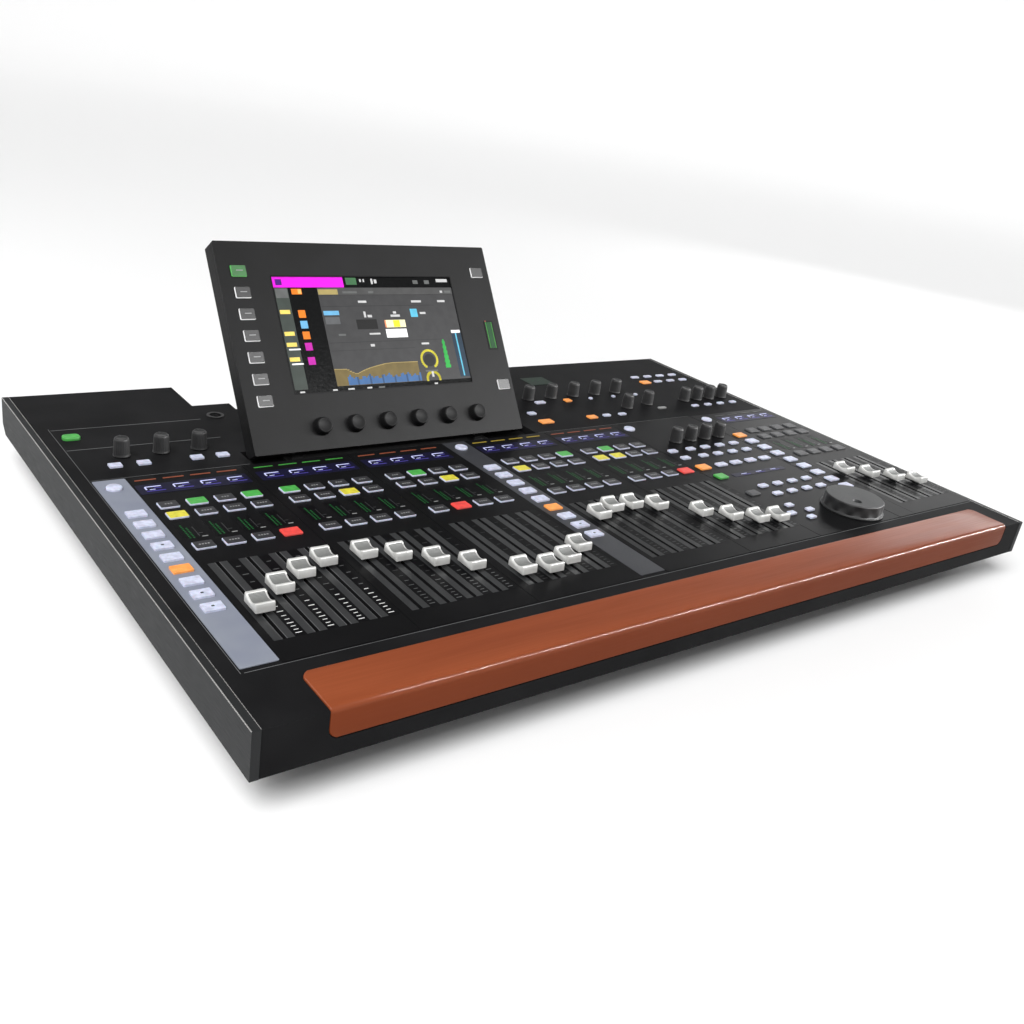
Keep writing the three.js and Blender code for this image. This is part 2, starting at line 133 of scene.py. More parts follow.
def four_across(row, width, depth, first=0):
    """A key for each channel of the right bank."""
    columns = [BANKS[-1]["left"] - 3 + i * CHANNEL_PITCH for i in range(first, CHANNELS)]
    return key_grid(columns, (row,), width, depth)


# Free keys of the deck: across, back, width, depth, colour
MASTER_COLUMNS = (639.1, 662.9, 687.3, 711.2)
MASTER_KEYS = (
    [(610.7, 273.3, 11.5, 7, "pearl"), (610.7, 253.4, 11.5, 7, "pearl"),
     (610.7, 226.5, 15.5, 11.5, "orange"), (610.7, 200.6, 13.5, 11, "green"), (610.7, 156, 14, 10, "outline")]
    + key_grid(MASTER_COLUMNS, (273.3, 253.4, 166.8, 146.9), 11.5, 6.8)
    + key_grid(MASTER_COLUMNS, (226.5,), 14.5, 7.6)
    + [(u, v, 9.5, 6.4, "pearl") for u, v in ((625.6, 120.6), (611.2, 105.6), (639.6, 105.6), (625.6, 92.2))]
)
CHANNEL_PANEL_KEYS = (
    [(559.6, 447.8, 13.5, 6.6, "pearl"), (602, 447, 9, 8, "orange"), (523.3, 417.2, 10, 7, "pearl"),
     (523.5, 390.2, 17, 10, "orange"), (592.6, 389.8, 12.5, 8.4, "orange"), (616.1, 390.4, 10, 5.6, "pearl"),
     (640.5, 389.6, 10, 5.6, "pearl"), (714, 396, 12, 4.6, "dim")]
    + key_grid((639.3, 677.3, 715.8), (447,), 4.4, 4.4)
)
RIGHT_PANEL_KEYS = (four_across(507, 12, 5.4) + [(770.5, 486, 14.5, 9.5, "orange")]
                    + four_across(486, 12, 5.4, 1) + four_across(392.6, 10, 5.4))
MONITOR_PANEL_KEYS = key_grid((47, 71.5, 118.8, 142.7), (390,), 11, 8.4)
# Which keys of a strip, counted from the rear, carry a small mark
STRIP_MARKS = {"left_key_strip": (3, 7, 8), "middle_key_strip": (7, 8), "right_key_strip": ()}

# Small knobs that are fixed in the frame: across, back
CHANNEL_KNOBS = [(553 + i * 35.2, 463) for i in range(5)] + [(667, 410), (706, 415)]
KNOB_RADIUS, KNOB_HEIGHT = 7, 16.5

# On the screen: across, up
SCREEN_KEYS = [(19.8, 175.5 - i * 20.9) for i in range(7)] + [(290.6, 175.5), (294, 50.3)]
SCREEN_KEY = (15, 11)
SCREEN_KEY_HEIGHT = 1.3
LEVEL_LAMP = (292, 105.5)
SCREEN_KNOBS = [(71.5 + i * 35.9, 22) for i in range(6)]


def linear(hex_colour, alpha=1.0):
    """An sRGB hex colour as linear red, green, blue and alpha."""
    channels = [int(hex_colour[i:i + 2], 16) / 255 for i in (0, 2, 4)]
    return [c / 12.92 if c <= 0.04045 else ((c + 0.055) / 1.055) ** 2.4 for c in channels] + [alpha]


# ---------------------------------------------------------------- materials

GLOSS = "Specular IOR Level"


def add_node(tree, kind, inputs=None, **settings):
    """Adds a node, sets its fields, and links or sets its inputs."""
    node = tree.nodes.new(kind)
    for name, value in settings.items():
        setattr(node, name, value)
    for socket, value in (inputs or {}).items():
        if isinstance(value, bpy.types.NodeSocket):
            tree.links.new(value, node.inputs[socket])
        else:
            node.inputs[socket].default_value = value
    return node


def base_material(name, constants):
    """A material whose shader sockets are set directly."""
    material = bpy.data.materials.new(name)
    material.use_nodes = True
    shader = material.node_tree.nodes["Principled BSDF"]
    for socket, value in constants.items():
        shader.inputs[socket].default_value = value
    return material, material.node_tree, shader


def noise(tree, size_mm, detail, stretch=(1, 1, 1)):
    """Noise whose features are about size_mm wide, in object space."""
    place = add_node(tree, "ShaderNodeTexCoord").outputs["Object"]
    scaled = add_node(tree, "ShaderNodeMapping", {"Vector": place, "Scale": stretch})
    return add_node(tree, "ShaderNodeTexNoise", {
        "Vector": scaled.outputs["Vector"], "Scale": 1 / (size_mm * MM), "Detail": detail})


def mottle(tree, factor, dark, light, low=0.35, high=0.65):
    """A colour that drifts between two hex colours as the factor does."""
    ramp = add_node(tree, "ShaderNodeMapRange", {"Value": factor, "From Min": low, "From Max": high})
    return add_node(tree, "ShaderNodeMix", {
        "Factor": ramp.outputs["Result"], "A": linear(dark), "B": linear(light)},
        data_type="RGBA").outputs["Result"]


def spread(tree, factor, low, high):
    """A value between low and high as the factor goes from 0.3 to 0.7."""
    return add_node(tree, "ShaderNodeMapRange", {
        "Value": factor, "From Min": 0.3, "From Max": 0.7, "To Min": low, "To Max": high}).outputs["Result"]


def bump(tree, shader, height, depth_mm):
    """Roughens the surface by depth_mm where the height goes from 0 to 1."""
    relief = add_node(tree, "ShaderNodeBump", {"Height": height, "Distance": depth_mm * MM})
    tree.links.new(relief.outputs["Normal"], shader.inputs["Normal"])


def finish(name, dark, light, grain_mm, rough, depth_mm, patch_mm, constants=None):
    """A surface with broad colour drift, grain in its relief and an uneven gloss."""
    material, tree, shader = base_material(name, constants or {})
    broad = noise(tree, patch_mm, 2)
    fine = noise(tree, grain_mm, 4)
    tree.links.new(mottle(tree, broad.outputs["Fac"], dark, light), shader.inputs["Base Color"])
    tree.links.new(spread(tree, fine.outputs["Fac"], *rough), shader.inputs["Roughness"])
    bump(tree, shader, fine.outputs["Fac"], depth_mm)
    return material


def black_anodised_aluminium():
    """Anodised side plate: fine brushing along its length gives a soft, drawn-out gloss."""
    material, tree, shader = base_material("black_anodised_aluminium", {GLOSS: 0.12})
    lines = noise(tree, 0.5, 4, (1, 0.03, 1))
    broad = noise(tree, 120, 2)
    tree.links.new(mottle(tree, broad.outputs["Fac"], "232425", "2b2c2d"), shader.inputs["Base Color"])
    tree.links.new(spread(tree, lines.outputs["Fac"], 0.42, 0.6), shader.inputs["Roughness"])
    bump(tree, shader, lines.outputs["Fac"], 0.01)
    return material


def stained_cherry_wood():
    """Stained cherry: long fibres and faint growth bands, glossy on top, duller in front; painted shade
    darkens its front.
    """
    material, tree, shader = base_material("stained_cherry_wood", {GLOSS: 0.04, "Coat Roughness": 0.12})
    fibres = noise(tree, 1.6, 5, (0.03, 1, 1))
    bands = noise(tree, 26, 3, (0.12, 1, 1))
    pores = noise(tree, 0.5, 2, (0.08, 1, 1))
    ground = mottle(tree, bands.outputs["Fac"], "854125", "934b2c", 0.3, 0.7)
    streak = add_node(tree, "ShaderNodeMapRange", {
        "Value": fibres.outputs["Fac"], "From Min": 0.35, "From Max": 0.75, "To Min": 0.0, "To Max": 0.16})
    colour = add_node(tree, "ShaderNodeMix", {
        "Factor": streak.outputs["Result"], "A": ground, "B": linear("6d3218")}, data_type="RGBA")
    height = add_node(tree, "ShaderNodeSeparateXYZ", {
        "Vector": add_node(tree, "ShaderNodeTexCoord").outputs["Object"]}).outputs["Z"]
    # Painted shade: the colour turns to a darker stain down the ridge and over the front face.
    face = add_node(tree, "ShaderNodeMapRange", {
        "Value": height, "From Min": DECK_TOP - 3 * MM, "From Max": DECK_TOP + 1.2 * MM, "To Min": 0.7,
        "To Max": 0.0})
    lacquer = add_node(tree, "ShaderNodeMapRange", {
        "Value": height, "From Min": DECK_TOP - 3 * MM, "From Max": DECK_TOP - 1 * MM, "To Min": 0.05,
        "To Max": 0.28})
    tree.links.new(lacquer.outputs["Result"], shader.inputs["Coat Weight"])
    shaded_front_colour = add_node(tree, "ShaderNodeMix", {
        "Factor": face.outputs["Result"], "A": colour.outputs["Result"], "B": linear("6a2f16")},
        data_type="RGBA")
    tree.links.new(shaded_front_colour.outputs["Result"], shader.inputs["Base Color"])
    tree.links.new(spread(tree, fibres.outputs["Fac"], 0.4, 0.52), shader.inputs["Roughness"])
    bump(tree, shader, pores.outputs["Fac"], 0.01)
    return material


def ribbed_abs_grip():
    """The finger dip of a cap: fine moulded ribs, drawn a millimetre apart so that they show, painted darker
    in their hollows as shade.
    """
    material, tree, shader = base_material("ribbed_abs_grip", {"Metallic": 0.15})
    place = add_node(tree, "ShaderNodeTexCoord").outputs["Object"]
    ribs = add_node(tree, "ShaderNodeTexWave", {"Vector": place, "Scale": 1 / math.pi / MM},
                    bands_direction="Y")
    # Painted shade and highlight: the colour is darker in the rib hollows and lighter on their crests.
    tree.links.new(mottle(tree, ribs.outputs["Fac"], "6a6b69", "8a8b89", 0.2, 0.8),
                   shader.inputs["Base Color"])
    shader.inputs["Roughness"].default_value = 0.5
    bump(tree, shader, ribs.outputs["Fac"], 0.15)
    return material


def cloudy(tree, shader, colour, share, patch_mm, detail):
    """Lets a colour drift, in patches, to one whose channels keep only a share of their value."""
    cloud = noise(tree, patch_mm, detail)
    dark = "".join(f"{int(int(colour[i:i + 2], 16) * share):02x}" for i in (0, 2, 4))
    tree.links.new(mottle(tree, cloud.outputs["Fac"], dark, colour), shader.inputs["Base Color"])


def lit_silicone(name, colour, glow):
    """Translucent silicone with a lamp behind it: it glows a little and scatters light."""
    material, tree, shader = base_material(name, {
        "Roughness": 0.42, "Subsurface Weight": 0.15, "Subsurface Scale": 1.5 * MM,
        "Emission Color": linear(colour), "Emission Strength": glow})
    cloudy(tree, shader, colour, 0.86, 5, 2)
    bump(tree, shader, noise(tree, 0.6, 3).outputs["Fac"], 0.008)
    return material


def glowing_ink(name, colour, glow):
    """A lit area of a display or a lamp window, under a clear satin film."""
    material, tree, shader = base_material(name, {
        "Roughness": 0.42, GLOSS: 0.1, "Emission Color": linear(colour), "Emission Strength": glow})
    cloudy(tree, shader, colour, 0.9, 9, 1)
    return material


# Plain finishes: the material's name, its dark and light colour, its grain in mm, the least and most
# roughness, the relief in mm, the width of its colour patches in mm, and constant sockets
PRINT = (0.8, (0.34, 0.44), 0.006, 40, {GLOSS: 0.25})
SILICONE = (0.6, (0.4, 0.5), 0.008, 8)
SURFACES = {
    # Powder coat: a fine orange-peel relief that breaks the highlights up
    "coat": ("powder_coated_steel", "19191a", "1f1f20", 0.7, (0.48, 0.56), 0.006, 60, {GLOSS: 0.026}),
    # Back-printed polycarbonate film: smoother and darker than the coat, with a faint sheen
    "overlay": ("screened_polycarbonate", "141415", "181819", 1.2, (0.3, 0.34), 0.0005, 50, {GLOSS: 0.028}),
    # The cut edge of the anodised plate, left bright; the lines along the deck's lip use it as a painted
    # highlight
    "edge": ("bright_edge_and_lip_highlight", "c9c9c7", "d8d8d6", 0.6, (0.2, 0.35), 0.005, 30, {"Metallic": 0.7}),
    # Thin black paint on the folded tray, duller than the deck
    "pan": ("painted_pan_steel", "191919", "272728", 0.9, (0.55, 0.7), 0.03, 60),
    # Silver-pigmented ABS of the fader caps: pale, satin, with a fine spark texture
    "cap": ("moulded_abs_cap", "c6c6c3", "d9d9d6", 0.4, (0.32, 0.44), 0.01, 12, {"Metallic": 0.15}),
    # Soft-touch coating of the knobs: near black, matt, with a dusty sheen
    "knob": ("soft_touch_rubber", "151516", "1f1f20", 0.6, (0.5, 0.65), 0.015, 10,
             {"Sheen Weight": 0.15, "Sheen Roughness": 0.4}),
    # Top disc of the jog wheel: graphite anodising with an even satin gloss
    "wheel": ("turned_graphite_aluminium", "28292a", "303132", 0.5, (0.38, 0.5), 0.005, 25, {GLOSS: 0.22}),
    # Spark-eroded ABS of the screen's case: an even matt black grain
    "case": ("moulded_case_plastic", "151515", "1a1a1b", 0.6, (0.48, 0.6), 0.01, 50, {GLOSS: 0.12}),
    # Chemically hardened glass over a dark panel: deep black with a sharp reflection
    "glass": ("black_display_glass", "08090a", "0c0d0e", 2.0, (0.08, 0.13), 0.001, 60),
    # Zinc plate: bright grey metal with a slightly clouded gloss
    "steel": ("zinc_plated_steel", "98999b", "a8aaac", 0.8, (0.25, 0.4), 0.006, 15, {"Metallic": 1.0}),
    # Black-oxide steel of the hinge: dark metal with a faint oily gloss
    "black_steel": ("blackened_steel", "1c1c1d", "262627", 0.8, (0.35, 0.5), 0.006, 15, {"Metallic": 0.6}),
    # Carbon-black rubber: dead matt with a fine mould texture
    "rubber": ("moulded_rubber", "131313", "1a1a1a", 0.8, (0.75, 0.9), 0.03, 12),
    # Solder resist over copper: green with a wet gloss
    "board": ("green_circuit_board", "1f4a33", "265a40", 1.0, (0.3, 0.45), 0.02, 8),
    # Silicone with no lamp lit: satin, with a skin like the lit keys'
    "dim": ("pale_grey_silicone", "8f9090", "8f9090", *SILICONE),
    "grey": ("dark_grey_silicone", "5c5d5f", "5c5d5f", *SILICONE),
    "key_dark": ("smoked_silicone", "2b2b2e", "2b2b2e", *SILICONE),
    "jet": ("jet_silicone", "1a1a1b", "1a1a1b", *SILICONE),
    # Near black for real black fills, prints and gaskets, and for the painted shade of the screws' cross
    # recesses
    "groove": ("black_fill_and_recess_shade", "08080a", "08080a", *SILICONE, {GLOSS: 0.08}),
    # Lacquer and screen print on the plates: smooth and satin, a little cloudy
    "strip": ("lavender_strip_lacquer", "7f8493", "8b909b", *PRINT),
    "dark_strip": ("graphite_strip_lacquer", "38393d", "3f4044", *PRINT),
    # Also drawn on the chamfer of the jog wheel's flange, as a painted highlight
    "scale": ("grey_print_and_flange_highlight", "2f3031", "343536", *PRINT),
    "faint": ("faint_scale_print", "1c1d1e", "202122", *PRINT),
    # Pale lines for the creases between panels, a painted highlight; the fader scales also print some marks
    # and lines in it.
    "seam": ("crease_highlight_and_pale_print", "5a5b5c", "6c6d6e", *PRINT),
}
# Lit silicone: name, colour, glow
LIT_SILICONES = {
    "pearl": ("pearl_silicone", "cdd1e6", 0.14), "green": ("green_silicone", "46a347", 0.25),
    "yellow": ("yellow_silicone", "d8cd3c", 0.18), "red": ("red_silicone", "dd4640", 0.3),
    "orange": ("orange_silicone", "f29b4c", 0.3), "deep_green": ("deep_green_silicone", "1f6f26", 0.2),
}
# Inks of the displays and lamp windows: name, colour, glow
INKS = {
    "brick": ("brick_lamp_window", "8a4a35", 0.2), "ochre": ("ochre_lamp_window", "a08a34", 0.2),
    "leaf": ("green_lamp_window", "3f8f3c", 0.2), "violet_glow": ("violet_display_line", "453e90", 0.35),
    "violet": ("violet_display", "14132a", 0.3), "stroke": ("pale_display_stroke", "b9bde6", 0.5),
    "meter": ("green_meter_lamp", "174f26", 0.3), "display_green": ("dim_green_display", "16281e", 0.15),
    # Painted light: the fader scale marks in this white print glow, though no lamp lies behind them.
    "white": ("white_print", "f2f2f2", 0.15),
}
FINISH = {key: finish(*row) for key, row in SURFACES.items()}
FINISH |= {key: lit_silicone(*row) for key, row in LIT_SILICONES.items()}
FINISH |= {key: glowing_ink(*row) for key, row in INKS.items()}
FINISH |= {"cheek": black_anodised_aluminium(), "wood": stained_cherry_wood(), "grip": ribbed_abs_grip()}

# ---------------------------------------------------------------- mesh tools, in millimetres


def rounded_outline(x, y, width, depth, radius, steps=3):
    """A rectangle with round corners, anticlockwise."""
    radius = max(min(radius, width / 2 - 0.01, depth / 2 - 0.01), 0.02)
    points = []
    for quarter, (side, end) in enumerate(((1, -1), (1, 1), (-1, 1), (-1, -1))):
        centre = (x + side * (width / 2 - radius), y + end * (depth / 2 - radius))
        for step in range(steps + 1):
            angle = (quarter - 1 + step / steps) * math.pi / 2
            points.append((centre[0] + radius * math.cos(angle), centre[1] + radius * math.sin(angle)))
    return points


def loft(bm, rings, finish_index=0, close_high=True, smooth=False):
    """Joins rings of points, each with as many, into one closed skin."""
    loops = [[bm.verts.new(point) for point in ring] for ring in rings]
    faces = []
    for lower, upper in zip(loops, loops[1:]):
        for i in range(len(lower)):
            j = (i + 1) % len(lower)
            faces.append(bm.faces.new((lower[i], lower[j], upper[j], upper[i])))
    for face in faces:
        face.smooth = smooth
    faces.append(bm.faces.new(loops[0][::-1]))
    if close_high:
        faces.append(bm.faces.new(loops[-1]))
    for face in faces:
        face.material_index = finish_index
    return faces


def slab(bm, x, y, width, depth, low, high, radius=1.0, edge=0.3, finish_index=0, steps=3):
    """A block with round corners and a rounded upper edge."""
    levels = [(0, low), (0, high - edge)]
    levels += [(edge * (1 - math.cos(t)), high - edge * (1 - math.sin(t)))
               for t in (math.pi / 4, math.pi / 2)]
    rings = [[(px, py, z) for px, py in rounded_outline(x, y, width - 2 * inset, depth - 2 * inset,
                                                        radius - inset, steps)] for inset, z in levels]
    return loft(bm, rings, finish_index)


def round_ring(x, y, radius, z, segments, ripple=0.0, ribs=0):
    """A circle of points, with ribs if asked."""
    points = []
    for i in range(segments):
        angle = i / segments * 2 * math.pi
        reach = radius + ripple * math.cos(angle * ribs)
        points.append((x + reach * math.cos(angle), y + reach * math.sin(angle), z))
    return points


def circle(x, y, radius, segments):
    """A flat circle of points, as an outline or a hole."""
    return [(px, py) for px, py, _ in round_ring(x, y, radius, 0, segments)]


def turned(bm, x, y, profile, segments, finish_index=0):
    """A turned body from (radius, height) pairs, from its foot to its top."""
    loft(bm, [round_ring(x, y, radius, z, segments) for radius, z in profile], finish_index, smooth=True)


def cut_plate(bm, outline, holes, low, high, finish_index=0):
    """A flat plate with holes through it."""
    loops = [outline] + holes
    triangles = tessellate_polygon([[Vector((x, y, 0)) for x, y in loop] for loop in loops])
    points = [point for loop in loops for point in loop]
    lower = [bm.verts.new((x, y, low)) for x, y in points]
    upper = [bm.verts.new((x, y, high)) for x, y in points]
    for a, b, c in triangles:
        (ax, ay), (bx, by), (cx, cy) = points[a], points[b], points[c]
        if (bx - ax) * (cy - ay) - (by - ay) * (cx - ax) < 0:
            b, c = c, b
        bm.faces.new((upper[a], upper[b], upper[c]))
        bm.faces.new((lower[c], lower[b], lower[a]))
    start = 0
    for loop in loops:
        for i in range(len(loop)):
            j = (i + 1) % len(loop)
            bm.faces.new((lower[start + i], lower[start + j], upper[start + j], upper[start + i]))
        start += len(loop)
    for face in bm.faces:
        face.material_index = finish_index


def make_piece(name, bm, finishes, body, place=None):
    """Turns a mesh in millimetres into a piece that rides on a body."""
    bmesh.ops.recalc_face_normals(bm, faces=bm.faces[:])
    bmesh.ops.transform(bm, matrix=(place or DECK_PLACE) @ Matrix.Scale(MM, 4), verts=bm.verts[:])
    mesh = bpy.data.meshes.new(name)
    bm.to_mesh(mesh)
    bm.free()
    piece = bpy.data.objects.new(name, mesh)
    bpy.context.collection.objects.link(piece)
    for key in finishes:
        mesh.materials.append(FINISH[key])
    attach(piece, body)
    return piece


DECK_PLACE = Matrix.Translation(FRONT_LEFT)


def on_deck(node):
    """A CAD node's middle on the deck, its width and its top over the deck, in millimetres."""
    low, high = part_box(node)
    return ((low + high) / 2 - FRONT_LEFT) / MM, (high.x - low.x) / MM, (high.z - DECK_TOP) / MM


def screen_place():
    """From the lower left corner of the bezel's front face to the desk's frame."""
    low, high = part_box("screen_bezel")
    foot = high.z - SCREEN_HEIGHT * MM * math.sin(SCREEN_TILT)
    return Matrix.Translation((low.x, low.y, foot)) @ Matrix.Rotation(SCREEN_TILT, 4, "X")


SCREEN_PLACE = screen_place()
KEY_FINISHES = ("pearl", "key_dark", "green", "yellow", "red", "orange", "dim", "grey", "jet", "deep_green",
                "white")

# ---------------------------------------------------------------- settings that a user would change


class DeskKeySettings(bpy.types.PropertyGroup):
    """Sizes of the keys and caps."""
    key_height: bpy.props.FloatProperty(
        name="Key height", description="How far a key stands over the deck", default=1.8 * MM,
        min=0.5 * MM, unit="LENGTH")
    plate_thickness: bpy.props.FloatProperty(
        name="Overlay thickness", description="Thickness of the overlay plates on the deck",
        default=0.5 * MM, min=0.1 * MM, unit="LENGTH")


class DeskStageSettings(bpy.types.PropertyGroup):
    """The studio round the desk."""
    floor_colour: bpy.props.FloatVectorProperty(
        name="Floor colour", description="Colour of the studio floor", subtype="COLOR", size=4,
        default=linear("f4f4f4"), min=0, max=1)
    sky_strength: bpy.props.FloatProperty(
        name="Main light", description="Strength of the broad light from the front left", default=2.5, min=0)
    softbox_power: bpy.props.FloatProperty(
        name="Softboxes", description="Power of one softbox; the others follow it", default=4, min=0,
        unit="POWER")
    world_strength: bpy.props.FloatProperty(
        name="Surround", description="Strength of the white surround", default=0.2, min=0)


def key_settings():
    return bpy.context.scene.mixing_desk_keys


def plate_top():
    return key_settings().plate_thickness / MM


def key_top():
    return key_settings().key_height / MM


# ---------------------------------------------------------------- body


def paint(node, finishes, edge_mm=0.0):
    """Gives a CAD node its finish and softens its sharp edges."""
    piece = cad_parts[node]
    piece.data.materials.clear()
    for key in finishes:
        piece.data.materials.append(FINISH[key])
    if edge_mm:
        soft = piece.modifiers.new("soft_edges", "BEVEL")
        soft.width = edge_mm * MM
        soft.segments = 2
        soft.limit_method = "ANGLE"
        soft.angle_limit = math.radians(35)
        soft.harden_normals = False


BODY_FINISHES = {
    "deck_panel": ("coat", 0.4), "bottom_pan": ("pan", 0.0), "left_cheek": ("cheek", 0.3),
    "right_cheek": ("cheek", 0.3), "connector_plate": ("pan", 0.0), "main_board": ("board", 0.0),
    "power_supply": ("steel", 0.0), "left_fader_tracks": ("steel", 0.0),
    "right_fader_tracks": ("steel", 0.0), "hinge_bracket": ("black_steel", 0.2),
    "hinge_pin": ("black_steel", 0.0),
    "front_left_foot": ("rubber", 0.4), "rear_left_foot": ("rubber", 0.4),
    "front_right_foot": ("rubber", 0.4), "rear_right_foot": ("rubber", 0.4),
    "screen_bezel": ("case", 0.4), "screen_back": ("case", 0.5), "touch_display": ("glass", 0.0),
}


class BuildBody(bpy.types.Operator):
    """Finishes the fixed body: deck, tray, cheeks and what is inside"""
    bl_idname = "mixing_desk.body"
    bl_label = "Body finishes"

    def execute(self, context):
        for node, (key, edge_mm) in BODY_FINISHES.items():
            paint(node, [key], edge_mm)
        return {"FINISHED"}


class BuildEdges(bpy.types.Operator):
    """Adds the bright edges of the cheeks, and a bright line along each side lip of the deck as a painted
    highlight
    """
    bl_idname = "mixing_desk.edges"
    bl_label = "Bright edges and lip highlights"

    def execute(self, context):
        middle, length = DESK_DEPTH / 2, DESK_DEPTH - 2
        for name, x in (("left_cheek_edge", 0.45), ("right_cheek_edge", DESK_WIDTH - 0.45)):
            bm = bmesh.new()
            slab(bm, x, middle, 0.7, length, -0.9, 0.02, 0.3, 0.15)
            make_piece(name, bm, ["edge"], "desk")
        bm = bmesh.new()
        # Painted highlight: a bright line along each side lip of the deck.
        for x in (6.15, DESK_WIDTH - 6.15):
            slab(bm, x, middle, 0.35, length, -0.4, 0.25, 0.1, 0.05)
        make_piece("deck_lip_highlights", bm, ["edge"], "desk")
        return {"FINISHED"}


ARMREST_LEFT, ARMREST_RIGHT = 50, 837
ARMREST_FRONT, ARMREST_BACK = 0.3, 43.5
ARMREST_LOW, ARMREST_TOP = -21.5, 1.5
ARMREST_RIDGE = 4
ARMREST_CORNER = 8
ARMREST_EDGE = 1.3
ARMREST_DEPTH = 3.2


def armrest_surface(run):
    """Depth and height, and the outward direction, after a run along the bar's top and down its front."""
    flat = ARMREST_BACK - ARMREST_FRONT - ARMREST_RIDGE
    bend = ARMREST_RIDGE * math.pi / 2
    if run <= flat:
        return (ARMREST_BACK - run, ARMREST_TOP), (0, 1)
    if run < flat + bend:
        angle = (run - flat) / ARMREST_RIDGE
        out = (-math.sin(angle), math.cos(angle))
        middle = (ARMREST_FRONT + ARMREST_RIDGE, ARMREST_TOP - ARMREST_RIDGE)
        return tuple(m + ARMREST_RIDGE * o for m, o in zip(middle, out)), out
    return (ARMREST_FRONT, ARMREST_TOP - ARMREST_RIDGE - (run - flat - bend)), (-1, 0)


def quarter(radius, distance):
    """How far a round corner of some radius draws the outline in, at a distance from its end."""
    short = max(radius - distance, 0)
    return radius - math.sqrt(max(radius * radius - short * short, 0))


class BuildArmrest(bpy.types.Operator):
    """Builds the wooden armrest, wrapped over the front edge with round corners"""
    bl_idname = "mixing_desk.armrest"
    bl_label = "Armrest"

    def execute(self, context):
        flat = ARMREST_BACK - ARMREST_FRONT - ARMREST_RIDGE
        bend = ARMREST_RIDGE * math.pi / 2
        whole = flat + bend + ARMREST_TOP - ARMREST_RIDGE - ARMREST_LOW
        near = [0, 0.12, 0.4, 0.8, 1.3, 2, 3, 4.5, 6, 8]
        runs = near + [14, 22, 30] + [flat + bend * step / 8 for step in range(9)] + [whole - 11]
        runs += [whole - distance for distance in near[::-1]]
        bm = bmesh.new()
        loft(bm, [self.row(run, min(run, whole - run)) for run in sorted(runs)], smooth=True)
        piece = make_piece("armrest_bar", bm, ["wood"], "desk")
        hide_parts("armrest")
        return {"FINISHED"}

    def row(self, run, distance):
        """One ring across the bar, drawn in near its rear and lower edges."""
        (y, z), (out_y, out_z) = armrest_surface(run)
        inset = quarter(ARMREST_CORNER, distance)
        ceiling = -quarter(ARMREST_EDGE, distance)
        left, right = ARMREST_LEFT + inset, ARMREST_RIGHT - inset
        side = [(0, -ARMREST_DEPTH)]
        side += [(ARMREST_EDGE * (1 - math.cos(t)), -ARMREST_EDGE * (1 - math.sin(t)))
                 for t in (step * math.pi / 10 for step in range(6))]
        profile = [(left + along, height) for along, height in side]
        profile += [(left + (right - left) * step / 12, 0) for step in range(1, 12)]
        profile += [(right - along, height) for along, height in reversed(side)]
        return [(x, y + out_y * min(height, ceiling), z + out_z * min(height, ceiling))
                for x, height in profile]


# ---------------------------------------------------------------- overlays, strips and scales


def slot_window(x):
    return rounded_outline(x, (SLOT_FRONT + SLOT_BACK) / 2, SLOT_WIDTH, SLOT_BACK - SLOT_FRONT, 1, 2)


def channel_places(bank):
    return [bank["left"] + i * CHANNEL_PITCH for i in range(CHANNELS)]


def round_window(node, clearance=0.4):
    """The outline of a round CAD key, in millimetres on the deck, with clearance."""
    centre, width, _ = on_deck(node)
    return circle(centre.x, centre.y, width / 2 + clearance, 24)


STRIP_FINISHES = {"left_key_strip": "strip", "middle_key_strip": "dark_strip", "right_key_strip": "overlay"}


class BuildOverlays(bpy.types.Operator):
    """Lays the printed overlay plates and the key strips on the deck"""
    bl_idname = "mixing_desk.overlays"
    bl_label = "Overlay plates"

    def execute(self, context):
        top = plate_top()
        wheel = round_window("jog_wheel", 0.8)
        slots = [slot_window(x) for bank in BANKS for x in channel_places(bank)]
        for name, (left, right) in PLATES.items():
            outline = rounded_outline((left + right) / 2, (PLATE_FRONT + PLATE_BACK) / 2, right - left,
                                      PLATE_BACK - PLATE_FRONT, 0.8)
            holes = [hole for hole in slots if left < hole[0][0] < right]
            if name == "master_overlay":
                holes += [round_window("bank_key_main"), wheel]
                holes += [knob_window(f"main_knob_{i + 1}") for i in range(4)]
            bm = bmesh.new()
            cut_plate(bm, outline, holes, 0.02, top)
            make_piece(name, bm, ["overlay"], "desk")
        for name, (left, right, key) in STRIPS.items():
            bm = bmesh.new()
            front, rear = (PLATE_FRONT, PLATE_BACK) if name == "right_key_strip" else STRIP_REACH
            outline = rounded_outline((left + right) / 2, (front + rear) / 2, right - left, rear - front, 1)
            cut_plate(bm, outline, [round_window(key)], 0.02, top + 0.1)
            make_piece(name, bm, [STRIP_FINISHES[name]], "desk")
        self.seams()
        return {"FINISHED"}

    def seams(self):
        """Fine creases between the panels of the deck, drawn as pale lines: a painted highlight along each
        crease.
        """
        bm = bmesh.new()
        runs = ((20, 862, 57.2, 0.5), (19, 158, 483, 0.8), (19, 158, 433, 0.7), (19, 158, 364.5, 0.4),
                (492, 728, 364, 0.35))
        for left, right, y, width in runs:
            slab(bm, (left + right) / 2, y, right - left, width, 0.0, 0.12, 0.15, 0.05)
        slab(bm, 17.8, 272, 0.4, 430, 0.0, 0.12, 0.15, 0.05)
        make_piece("panel_seam_highlights", bm, ["seam"], "desk")


def knob_window(node):
    return round_window(node, -3.6)


